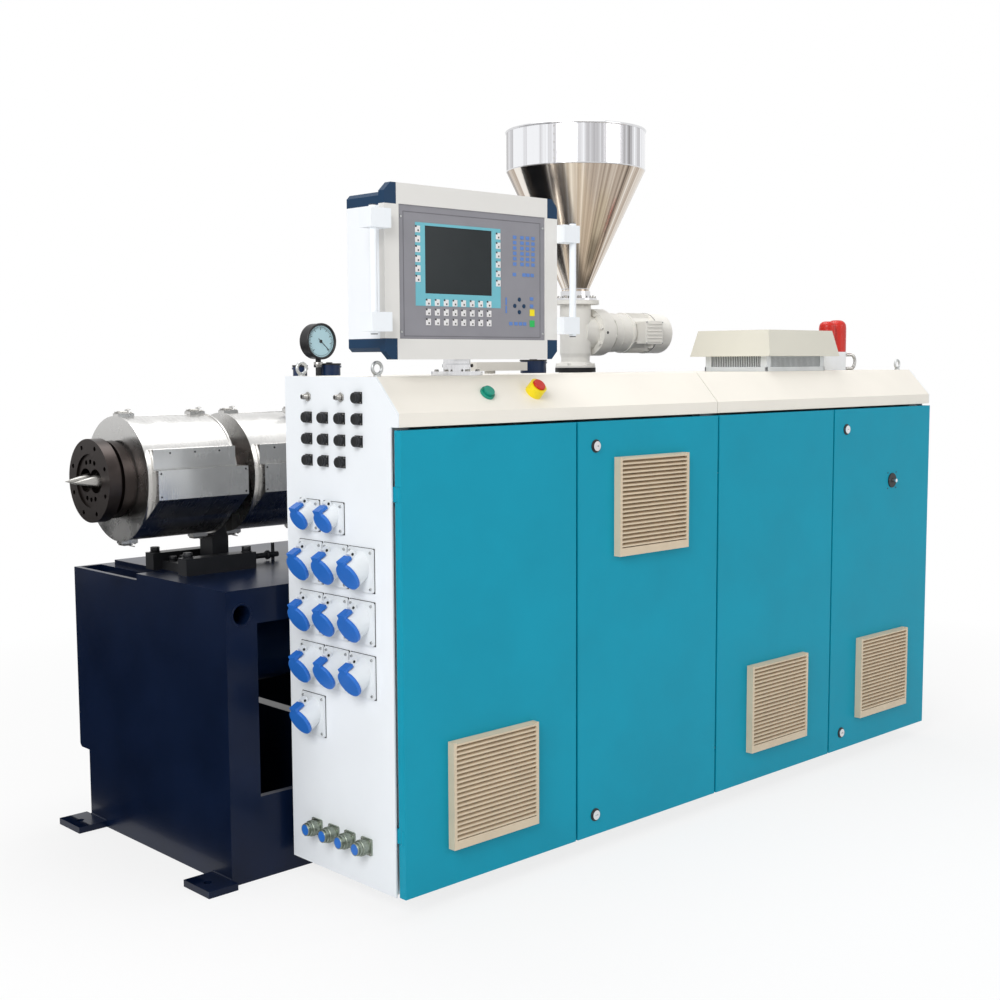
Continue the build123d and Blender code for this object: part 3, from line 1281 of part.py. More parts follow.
# Roof fittings
def roof_fan_base():
    """Plinth, corner posts and rotor drum of the roof fan."""
    width, depth = FAN_SIZE
    x0, y0 = FAN_X, FAN_Y
    z0 = CABINET_TOP
    plate = block(x0, x0 + width, y0, y0 + depth, z0, z0 + FAN_PLATE)
    body = plate
    for x in (x0, x0 + width - FAN_POST):
        for y in (y0, y0 + depth - FAN_POST):
            body = body + block(x, x + FAN_POST, y, y + FAN_POST, z0, z0 + FAN_BASE)
    drum = rod_z(x0 + width / 2, y0 + depth / 2, z0, z0 + FAN_BASE, FAN_ROTOR_R)
    return body + drum


def roof_fan_hood():
    """Sheet hood with sloping sides over the fan."""
    width, depth = FAN_SIZE
    x = FAN_X + width / 2
    y = FAN_Y + depth / 2
    z = CABINET_TOP + FAN_BASE
    low = Plane((x, y, z)) * Rectangle(width + 2 * HOOD_OVERHANG, depth + 2 * HOOD_OVERHANG)
    high_inset = HOOD_OVERHANG - HOOD_TOP_INSET
    high = Plane((x, y, z + HOOD_HEIGHT)) * Rectangle(width + 2 * high_inset, depth + 2 * high_inset)
    return loft([low, high])


def dome(x, radius, top):
    """A round lamp cover with a domed top."""
    z = CABINET_TOP + BEACON_BASE[2]
    lamp = rod_z(x, BEACON_Y, z, top, radius)
    return fillet(lamp.edges().filter_by(GeomType.CIRCLE).sort_by(Axis.Z)[-1], radius * DOME_ROUND)


def beacon():
    """Red lamp with the lower siren dome beside it."""
    top = CABINET_TOP + BEACON_BASE[2] + BEACON_HEIGHT
    return dome(BEACON_X, BEACON_R, top) + dome(BEACON_X - SIREN_OFFSET, SIREN_R, top - SIREN_DROP)


def beacon_base():
    """Foot of the lamp, with the short conduit that loops from its side down to the roof."""
    length, depth, height = BEACON_BASE
    x1 = BEACON_X + BEACON_R
    y0 = BEACON_Y - depth / 2
    foot = block(x1 - length, x1, y0, y0 + depth, CABINET_TOP, CABINET_TOP + height)
    foot = fillet(foot.edges().filter_by(Axis.Z), BEACON_BASE_ROUND)
    low = CABINET_TOP + CONDUIT_R
    high = low + 2 * CONDUIT_BEND
    bend_x = x1 + CONDUIT_RUN
    path = Polyline((x1 - CONDUIT_R, BEACON_Y, high), (bend_x, BEACON_Y, high))
    arc = ThreePointArc((bend_x, BEACON_Y, high), (bend_x + CONDUIT_BEND, BEACON_Y, low + CONDUIT_BEND),
                        (bend_x, BEACON_Y, low))
    back = Line((bend_x, BEACON_Y, low), (x1 - CONDUIT_R, BEACON_Y, low))
    ring = Plane((x1 - CONDUIT_R, BEACON_Y, high), z_dir=(1, 0, 0)) * Circle(CONDUIT_R)
    conduit = sweep(ring, path=Wire([*path.edges(), *arc.edges(), *back.edges()]))
    return foot + conduit


def lifting_eyes():
    """Eye bolts at the corners of the flat top."""
    eyes = []
    for x in (EYE_INSET_X, CABINET_LENGTH - EYE_INSET_X):
        for y in (EYE_FRONT_Y, EYE_BACK_Y):
            foot = rod_z(x, y, CABINET_TOP, CABINET_TOP + EYE_SHANK, EYE_SHANK_R)
            ring_z = CABINET_TOP + EYE_RING_R + EYE_WIRE_R + EYE_SINK
            ring = Pos(x, y, ring_z) * Rot(90, 0, 0) * Torus(EYE_RING_R, EYE_WIRE_R)
            eyes.append(foot + ring)
    return joined(eyes)


def main():
    """Builds and writes every node."""
    middle = CABINET_LENGTH / 2
    near_screw, far_screw = screw_centres()
    save("base_pedestal", base_pedestal())
    pad_x = BASE_FRONT_X - PAD_X
    save("anchor_pads", joined(anchor_pads(pad_x, pad_x + ANCHOR_FROM_EDGE)))
    save("base_sill", base_sill())
    save("base_posts", base_posts())
    save("deck_rails", deck_rails())
    save("deck_plate", deck_plate())
    save("barrel", barrel())
    save("screw_near", screw(near_screw, 1))
    save("screw_far", screw(far_screw, -1))
    save("barrel_covers", joined([barrel_cover(start) for start in COVER_STARTS_X]))
    save("barrel_support", barrel_support())
    save("slide_bars", slide_bars())
    rear_pot = (0, 0, REAR_VENT_R, REAR_VENT_TOP)
    save("vent_stacks", joined([vent_stack(VENT_X, VENT_POTS), vent_stack(REAR_VENT_X, [rear_pot])]))
    save("zone_box", zone_box())
    save("vacuum_gauge", vacuum_gauge())
    save("feed_section", feed_section())
    save("feeder_body", feeder_body())
    save("feeder_drive", feeder_drive())
    save("hopper", hopper())
    save("gearbox", gearbox())
    save("coupling_guard", coupling_guard())
    save("main_motor", main_motor())
    save("water_tank", water_tank())
    save("end_panel_die", end_panel(0))
    save("end_panel_motor", end_panel(CABINET_LENGTH - END_PANEL))
    die_half = cover(END_PANEL, middle - COVER_SEAM / 2)
    motor_half = cover(middle + COVER_SEAM / 2, CABINET_LENGTH - END_PANEL)
    save("top_cover", joined([die_half, motor_half]))
    save("cabinet_back", cabinet_back())
    save("cabinet_base", cabinet_base())
    save("cabinet_ties", cabinet_ties())
    save("cabinet_frame", cabinet_frame())
    save("mounting_plates", mounting_plates())
    save("hinge_brackets", hinge_brackets())
    for index in range(DOOR_COUNT):
        save(f"door_{index + 1}", door(index))
        save(f"door_{index + 1}_grille", grille(index))
    save("door_2_locks", joined(door_locks(1)))
    save("door_4_locks", joined([*door_locks(3), isolator()]))
    start_collar = collar(START_X, START_COLLAR_R, START_COLLAR, START_R + BUTTON_CLEARANCE)
    stop_collar = collar(STOP_X, STOP_COLLAR_R, STOP_COLLAR, STOP_R + BUTTON_CLEARANCE)
    save("button_collars", joined([start_collar, stop_collar]))
    save("start_button", button(START_X, START_R, START_COLLAR, START_PROUD, START_TRAVEL))
    save("stop_button", button(STOP_X, STOP_R, STOP_COLLAR, STOP_PROUD, STOP_TRAVEL))
    save("sockets", sockets())
    save("socket_lids", socket_lids())
    save("signal_connectors", signal_connectors())
    save("power_connectors", power_connectors())
    save("hmi_housing", hmi_housing())
    save("hmi_corners", hmi_corners())
    save("hmi_plate", hmi_plate())
    save("hmi_screen", hmi_screen())
    save("hmi_handles", hmi_handles())
    save("hmi_pedestal", hmi_pedestal())
    save("roof_fan_base", roof_fan_base())
    save("roof_fan_hood", roof_fan_hood())
    save("beacon", beacon())
    save("beacon_base", beacon_base())
    save("lifting_eyes", lifting_eyes())


main()
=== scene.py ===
"""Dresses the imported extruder: finishes for every solid, small fittings, a plain studio and the camera."""

import json
import math

import bmesh
import bpy
from mathutils import Euler, Matrix, Vector


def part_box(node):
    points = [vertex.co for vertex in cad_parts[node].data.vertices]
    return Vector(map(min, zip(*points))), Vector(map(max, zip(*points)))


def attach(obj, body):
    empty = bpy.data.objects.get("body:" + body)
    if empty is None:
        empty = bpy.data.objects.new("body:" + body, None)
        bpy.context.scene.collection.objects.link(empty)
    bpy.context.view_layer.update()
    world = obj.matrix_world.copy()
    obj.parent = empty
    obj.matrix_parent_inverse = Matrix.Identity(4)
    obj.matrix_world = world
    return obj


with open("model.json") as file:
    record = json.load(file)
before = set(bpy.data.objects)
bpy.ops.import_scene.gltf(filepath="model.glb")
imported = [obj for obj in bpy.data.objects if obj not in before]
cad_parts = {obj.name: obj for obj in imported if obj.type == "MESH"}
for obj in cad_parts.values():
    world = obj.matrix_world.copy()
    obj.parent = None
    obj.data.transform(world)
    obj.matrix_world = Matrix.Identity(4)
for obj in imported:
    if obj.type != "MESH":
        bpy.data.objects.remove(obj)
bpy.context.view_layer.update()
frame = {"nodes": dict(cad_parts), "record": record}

bl_info = {
    "name": "Plastic extruder",
    "version": (1, 0, 0),
    "blender": (4, 5, 0),
    "location": "View3D > Sidebar > Extruder",
    "description": "Finishes and fittings of a twin-screw plastic extruder on its CAD frame",
    "category": "Object",
}

# Pieces are drawn in the machine's own millimetres: x from the die-end panel, y from the door faces, z from
# the floor. This turns them into the stored frame's metres.
TO_STORED = Matrix.Translation((-1.1795, -0.6295, 0.0)) @ Matrix.Scale(0.001, 4)
LEFT = (-1, 0, 0)
RIGHT = (1, 0, 0)
FRONT = (0, -1, 0)
BACK = (0, 1, 0)
UP = (0, 0, 1)
DOWN = (0, 0, -1)

# Corners and middles of the CAD's nodes at rest, in machine millimetres
TO_MACHINE = TO_STORED.inverted()
LOW = {node: TO_MACHINE @ Vector(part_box(node)[0]) for node in frame["nodes"]}
HIGH = {node: TO_MACHINE @ Vector(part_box(node)[1]) for node in frame["nodes"]}
MIDDLE = {node: (LOW[node] + HIGH[node]) / 2 for node in frame["nodes"]}

# Barrel line, worked out from those nodes as all other places are
AXIS_Y = MIDDLE["barrel"].y
AXIS_Z = MIDDLE["barrel"].z
DRUM_R = HIGH["barrel_covers"].z - AXIS_Z - 9
DRUM_STARTS = [LOW["barrel_covers"].x + step for step in (0, 324, 744, 1068)]
DRUM_LENGTH = 268.0
VENTS_X = (LOW["vent_stacks"].x + 70, HIGH["vent_stacks"].x - 70)
GAUGE_X = HIGH["vacuum_gauge"].x - 52
GAUGE_FACE_Y = LOW["vacuum_gauge"].y
GAUGE_Z = LOW["vacuum_gauge"].z + 215
# Hopper and feeder
HOPPER_X = MIDDLE["hopper"].x
HOPPER_R = HIGH["hopper"].x - HOPPER_X
HOPPER_TOP = HIGH["hopper"].z
HOPPER_BAND_Z = HOPPER_TOP - 136
HOPPER_SPOUT_Z = LOW["hopper"].z + 39
HOPPER_SPOUT_R = 48.0
# Turn of the hopper's seam about its axis, from +X
HOPPER_SEAM = math.radians(206)
FEEDER_TOP = HIGH["feeder_body"].z
FEEDER_FOOT = LOW["feeder_body"].z
FEEDER_FLANGE = HIGH["feeder_body"].x - 40
DRIVE_Z = MIDDLE["feeder_drive"].z
DRIVE_END = HIGH["feeder_drive"].x - 0.2
# Lid of the feeder motor's terminal box: x and z limits, and its face
TERMINAL_BOX = (DRIVE_END - 195.8, DRIVE_END - 100.8, DRIVE_Z - 42, DRIVE_Z + 42)
TERMINAL_FACE = LOW["feeder_drive"].y - 8
# Base and drive
BASE_FRONT = LOW["base_posts"].y
BASE_BACK = HIGH["base_posts"].y
DECK_TOP = HIGH["deck_plate"].z
GEARBOX_FACE = HIGH["gearbox"].x
GEARBOX_TOP = HIGH["gearbox"].z + 11
MOTOR_START = LOW["main_motor"].x
MOTOR_END = HIGH["main_motor"].x - 0.6
# Lid of the main motor's terminal box: x limits and top
MOTOR_BOX = (MOTOR_START + 126, MOTOR_START + 284, HIGH["main_motor"].z + 11)
# Operator panel: its plate, frame, swivel and handles, and the outlines on the plate as x and z limits
PLATE_LOW, PLATE_HIGH = LOW["hmi_plate"], HIGH["hmi_plate"]
PLATE_FRONT = PLATE_LOW.y
PANEL_FRAME_BACK = PLATE_FRONT + 16
KEYPAD_RIM = (PLATE_LOW.x + 14.5, PLATE_HIGH.x - 15.5, PLATE_LOW.z + 6, PLATE_HIGH.z - 15)
SCREEN = (LOW["hmi_screen"].x, HIGH["hmi_screen"].x, LOW["hmi_screen"].z, HIGH["hmi_screen"].z)
SCREEN_SURROUND = (SCREEN[0] - 30, SCREEN[1] + 30, SCREEN[2] - 29.5, SCREEN[3] + 6.5)
SWIVEL = MIDDLE["hmi_pedestal"].xy
HANDLES_X = (LOW["hmi_handles"].x + 14, HIGH["hmi_handles"].x - 14)
HANDLE_Y = LOW["hmi_handles"].y + 12
HANDLE_ENDS_Z = (LOW["hmi_handles"].z, HIGH["hmi_handles"].z)
# Cabinet: its bays and outer faces, the rise and depth of the cover's slope, and what sits on them
CABINET_LENGTH = HIGH["end_panel_motor"].x
CABINET_BACK = HIGH["cabinet_back"].y
CABINET_TOP = HIGH["top_cover"].z
DOOR_WIDTH = CABINET_LENGTH / 4
COVER_SLOPE = (85.0, 79.0)
START_BUTTON = (MIDDLE["start_button"].x, 41.76, 1252.55)
ISOLATOR = (HIGH["door_4_locks"].x - 24, 0.0, 927.0)
BEACON_Y = MIDDLE["beacon"].y
BEACON_END = HIGH["beacon"].x
# Roof fan: x and y limits of its box, the open height, the corner posts and the hood's overhang
FAN_LOW, FAN_HIGH = LOW["roof_fan_base"], HIGH["roof_fan_base"]
FAN = (FAN_LOW.x, FAN_HIGH.x, FAN_LOW.y, FAN_HIGH.y)
FAN_GAP = (FAN_LOW.z + 10, FAN_HIGH.z)
FAN_POST = 22.0
HOOD_OVERHANG = HIGH["roof_fan_hood"].x - FAN_HIGH.x
# Die-end panel: flange size and barrel radius of both kinds of socket, and how a barrel stands
SMALL_SOCKET = ((82.0, 78.0), 26.0)
BIG_SOCKET = ((96.0, 106.0), 34.0)
SOCKET_FLANGE = 6.0
SOCKET_TILT = math.radians(28)
# Length of a big socket's barrel, and how far its lid's hinge lies behind the mouth
SOCKET_REACH = 40.0
SOCKET_HINGE_BACK = 30.5
POWER_Z = MIDDLE["power_connectors"].z

# The photograph's camera: place in metres, heading from +Y towards +X, dip and roll in degrees, lens in mm
CAMERA_PLACE = (-3.2391, -3.1202, 1.3304)
CAMERA_HEADING = 43.7
CAMERA_DIP = 5.63
CAMERA_ROLL = -0.27
CAMERA_LENS = 50.29
CAMERA_SENSOR = 36.0
# Softboxes: name, place in metres, size in metres and power in watts
SOFTBOXES = (
    ("Key softbox", (-5.7, -3.1, 4.2), 3.2, 235),
    ("Fill softbox", (2.2, -6.0, 3.2), 3.0, 62),
    ("Top softbox", (0.2, 0.6, 5.4), 3.4, 140),
)
LAMP_AIM = (0.0, 0.0, 0.8)
# What the white surround gives as light, against the 1.0 it shows to the eye
SURROUND_LIGHT = 0.38


def linear(code):
    """Linear colour with alpha from an sRGB hex code."""
    shares = [int(code[i:i + 2], 16) / 255 for i in (1, 3, 5)]
    return tuple(s / 12.92 if s <= 0.04045 else ((s + 0.055) / 1.055) ** 2.4 for s in shares) + (1.0,)


def per_size(millimetres):
    """Texture scale that makes one pattern cell as large as a size in millimetres."""
    return 1000 / millimetres


def mm(length):
    """A property's length in millimetres."""
    return length * 1000


def colour(name, description, code):
    """A colour property with its default from a hex code."""
    return bpy.props.FloatVectorProperty(name=name, description=description, default=linear(code), size=4,
                                         min=0, max=1, subtype="COLOR")


def length(name, description, metres):
    """A length property."""
    return bpy.props.FloatProperty(name=name, description=description, default=metres, unit="LENGTH")


class ExtruderColours(bpy.types.PropertyGroup):
    """Colours of the machine's finishes."""

    teal: colour("Teal", "Powder coat of the cabinet doors", "#0d97b2")
    cream: colour("Cream", "Enamel of the cabinet cover", "#f2ede3")
    panel_white: colour("Panel white", "Powder coat of the end panels", "#f1f5f9")
    navy: colour("Navy", "Machine enamel of the base", "#0a1730")
    beige: colour("Beige", "Plastic of the filter grilles", "#d8c6ac")
    lid_blue: colour("Lid blue", "Plastic of the socket lids", "#2a6fc8")
    keypad: colour("Keypad grey", "Foil of the operator panel", "#8b8a90")
    cast_cream: colour("Cast cream", "Enamel of the feeder and its motor", "#f0eee8")
    surround: colour("Surround", "Printed frame round the screen", "#6fb9c7")


class ExtruderSizes(bpy.types.PropertyGroup):
    """Sizes of the small fittings and the studio."""

    floor_radius: length("Floor radius", "Radius of the pale floor", 40.0)
    key_width: length("Key width", "Width of an operator key", 0.0155)
    key_height: length("Key height", "Height of an operator key", 0.0155)
    key_proud: length("Key proud", "How far a key stands out of its foil", 0.0016)
    bolt: length("Bolt", "Width across the flats of the machine bolts", 0.019)
    small_bolt: length("Small bolt", "Width across the flats of the flange bolts", 0.013)
    panel_screw: length("Panel screw", "Head diameter of the screws in sheet and flanges", 0.0075)
    fan_bar_pitch: length("Fan bar pitch", "Spacing of the bars round the roof fan", 0.0068)
    conduit_rib_pitch: length("Conduit rib pitch", "Spacing of the ribs on the beacon's conduit", 0.0036)
    hopper_bead: length("Hopper bead", "Radius of the rolled edge of the hopper", 0.0042)


def new_material(name):
    """A material with only a Principled shader and its output, and its node tree."""
    material = bpy.data.materials.new(name)
    material.use_nodes = True
    tree = material.node_tree
    tree.nodes.clear()
    shader = tree.nodes.new("ShaderNodeBsdfPrincipled")
    output = tree.nodes.new("ShaderNodeOutputMaterial")
    tree.links.new(shader.outputs["BSDF"], output.inputs["Surface"])
    return material, tree, shader


def add_node(tree, kind, values=None, links=None, **settings):
    """Adds one node with its settings, its input values and the links into its inputs."""
    made = tree.nodes.new("ShaderNode" + kind)
    for key, value in settings.items():
        setattr(made, key, value)
    for key, value in (values or {}).items():
        made.inputs[key].default_value = value
    for key, (source, output) in (links or {}).items():
        tree.links.new(source.outputs[output], made.inputs[key])
    return made


def set_shader(tree, shader, values, links):
    """Sets a shader's plain values and links the patterns into its other sockets."""
    for key, value in values.items():
        shader.inputs[key].default_value = value
    for key, (source, output) in links.items():
        tree.links.new(source.outputs[output], shader.inputs[key])


def set_ramp(ramp, stops):
    """Gives a colour ramp its stops, each a position and a colour."""
    steps = ramp.color_ramp.elements
    while len(steps) < len(stops):
        steps.new(1.0)
    for step, (position, tone) in zip(steps, stops):
        step.position = position
        step.color = tone


def shade(base, factor):
    """A colour made darker or lighter by a factor, its alpha kept."""
    return tuple(min(1.0, c * factor) for c in base[:3]) + (1.0,)


def clouded(name, base, spread, clouds, gloss, grain, bump, values):
    """A finish whose tone and gloss drift in slow clouds over a fine grain: clouds and grain as a cell in mm
    and a detail, gloss as the lowest and highest roughness, bump as a strength and a depth in metres."""
    material, tree, shader = new_material(name)
    where = add_node(tree, "TexCoord")
    slow, fine = [add_node(tree, "TexNoise", {"Scale": per_size(cell), "Detail": detail},
                           {"Vector": (where, "Object")}) for cell, detail in (clouds, grain)]
    tone = add_node(tree, "ValToRGB", links={"Fac": (slow, "Fac")})
    set_ramp(tone, [(0.3, shade(base, 1 - spread)), (0.7, shade(base, 1 + spread))])
    rough = add_node(tree, "MapRange", {"To Min": gloss[0], "To Max": gloss[1]}, {"Value": (slow, "Fac")})
    relief = add_node(tree, "Bump", {"Strength": bump[0], "Distance": bump[1]}, {"Height": (fine, "Fac")})
    set_shader(tree, shader, values,
               {"Base Color": (tone, "Color"), "Roughness": (rough, "Result"), "Normal": (relief, "Normal")})
    return material


def painted(name, base, cell, depth, roughness, spread=0.06, coat=0.0, specular=0.3):
    """Paint or powder coat: a cell size in mm gives the orange peel, and slow clouds vary tone and gloss."""
    values = {"Coat Weight": coat, "Coat Roughness": 0.08, "Specular IOR Level": specular}
    gloss = (roughness - 0.05, roughness + 0.06)
    return clouded(name, base, spread, (180, 3.0), gloss, (cell, 2.0), (0.25, depth), values)


def moulded(name, base, roughness, cell=1.4, depth=0.00006, spread=0.04, clear=0.0, specular=0.35):
    """Moulded plastic: a fine spark-eroded grain in the bump and a slight change of tone."""
    values = {"IOR": 1.49, "Transmission Weight": clear, "Specular IOR Level": specular}
    gloss = (roughness - 0.04, roughness + 0.05)
    return clouded(name, base, spread, (60, 2.0), gloss, (cell, 1.0), (0.2, depth), values)


def brushed(name, base, roughness, stretch, grain=1.2, depth=0.00004, contrast=0.12):
    """Brushed or ground metal: grain lines drawn long along the stretch, with a slow change of gloss."""
    material, tree, shader = new_material(name)
    where = add_node(tree, "TexCoord")
    lines = add_node(tree, "Mapping", {"Scale": stretch}, {"Vector": (where, "Object")})
    grain_lines = add_node(tree, "TexNoise", {"Scale": per_size(grain), "Detail": 4.0},
                           {"Vector": (lines, "Vector")})
    clouds = add_node(tree, "TexNoise", {"Scale": per_size(90), "Detail": 2.0}, {"Vector": (where, "Object")})
    mixed = add_node(tree, "Math", {1: 0.5}, {0: (grain_lines, "Fac"), 2: (clouds, "Fac")},
                     operation="MULTIPLY_ADD")
    tone = add_node(tree, "ValToRGB", links={"Fac": (mixed, "Value")})
    set_ramp(tone, [(0.45, shade(base, 1 - contrast)), (1.0, shade(base, 1 + contrast / 2))])
    gloss = add_node(tree, "MapRange", {"From Min": 0.4, "From Max": 1.1, "To Min": roughness - 0.06,
                                        "To Max": roughness + 0.1}, {"Value": (mixed, "Value")})
    bump = add_node(tree, "Bump", {"Strength": 0.3, "Distance": depth}, {"Height": (grain_lines, "Fac")})
    set_shader(tree, shader, {"Metallic": 1.0},
               {"Base Color": (tone, "Color"), "Roughness": (gloss, "Result"), "Normal": (bump, "Normal")})
    return material


def hopper_sheet_painted_reflections(name):
    """Polished stainless rolled to a cone, its colour painted with reflections: stripes of painted reflection
    run down it, and on the cone they are warmer than on the rim.
    """
    material, tree, shader = new_material(name)
    where = add_node(tree, "TexCoord")
    axis = TO_STORED @ Vector((HOPPER_X, AXIS_Y, HOPPER_BAND_Z))
    centred = add_node(tree, "Mapping", {"Location": -axis}, {"Vector": (where, "Object")})
    turn = add_node(tree, "TexGradient", links={"Vector": (centred, "Vector")}, gradient_type="RADIAL")
    # Bands of painted reflection, about a fourteenth of a turn wide, some 100 mm at the rim
    painted_reflection_bands = add_node(tree, "TexNoise", {"Scale": 14.0, "Detail": 3.0, "Roughness": 0.6}, {"W": (turn, "Fac")},
                     noise_dimensions="1D")
    fine = add_node(tree, "TexNoise", {"Scale": 140.0, "Detail": 2.0}, {"W": (turn, "Fac")},
                    noise_dimensions="1D")
    painted_reflection_streaks = add_node(tree, "Math", {1: 0.25}, {0: (fine, "Fac"), 2: (painted_reflection_bands, "Fac")},
                       operation="MULTIPLY_ADD")
    # Ramps of painted reflection: warm brown to bright on the cone, grey to white on the rim above the band
    cone = add_node(tree, "ValToRGB", links={"Fac": (painted_reflection_streaks, "Value")})
    set_ramp(cone, [(0.42, linear("#665a50")), (0.55, linear("#ab9c8d")), (0.66, linear("#c9bcae")),
                    (0.8, linear("#f0eae2"))])
    band = add_node(tree, "ValToRGB", links={"Fac": (painted_reflection_streaks, "Value")})
    set_ramp(band, [(0.42, linear("#8f8d8e")), (0.6, linear("#c6c5c8")), (0.72, linear("#f2f3f6"))])
    # Above the band the rim's painted reflections are used, below it the cone's
    height = add_node(tree, "SeparateXYZ", links={"Vector": (centred, "Vector")})
    upper = add_node(tree, "Math", {1: 0.0}, {0: (height, "Z")}, operation="GREATER_THAN")
    tone = add_node(tree, "Mix", links={0: (upper, "Value"), 6: (cone, "Color"), 7: (band, "Color")},
                    data_type="RGBA")
    gloss = add_node(tree, "MapRange", {"From Min": 0.4, "From Max": 0.9, "To Min": 0.22, "To Max": 0.1},
                     {"Value": (painted_reflection_streaks, "Value")})
    bump = add_node(tree, "Bump", {"Strength": 0.2, "Distance": 0.0006}, {"Height": (painted_reflection_streaks, "Value")})
    set_shader(tree, shader, {"Metallic": 1.0},
               {"Base Color": (tone, 2), "Roughness": (gloss, "Result"), "Normal": (bump, "Normal")})
    return material


def panel_painted_light_and_shade(name, painted_shade_frame_tone, painted_light_shell_tone):
    """Satin enamel in two tones that paint light and shade: the front frame greyer, painted shade on its
    front faces, and the shell behind the frame's back edge whiter, painted light where the key lamp falls on
    its sides.
    """
    material = painted(name, painted_shade_frame_tone, 6, 0.0001, 0.4, 0.02)
    tree = material.node_tree
    shader = next(n for n in tree.nodes if n.type == "BSDF_PRINCIPLED")
    where = add_node(tree, "TexCoord")
    depth = add_node(tree, "SeparateXYZ", links={"Vector": (where, "Object")})
    # The depth split paints light and shade: the frame ahead of this edge takes the greyer tone, the shell
    # behind it the whiter one
    edge = (TO_STORED @ Vector((0, PANEL_FRAME_BACK, 0))).y
    behind = add_node(tree, "Math", {1: edge}, {0: (depth, "Y")}, operation="GREATER_THAN")
    front = shader.inputs["Base Color"].links[0].from_node
    tone = add_node(tree, "Mix", {7: painted_light_shell_tone}, {0: (behind, "Value"), 6: (front, "Color")},
                    data_type="RGBA")
    tree.links.new(tone.outputs[2], shader.inputs["Base Color"])
    return material


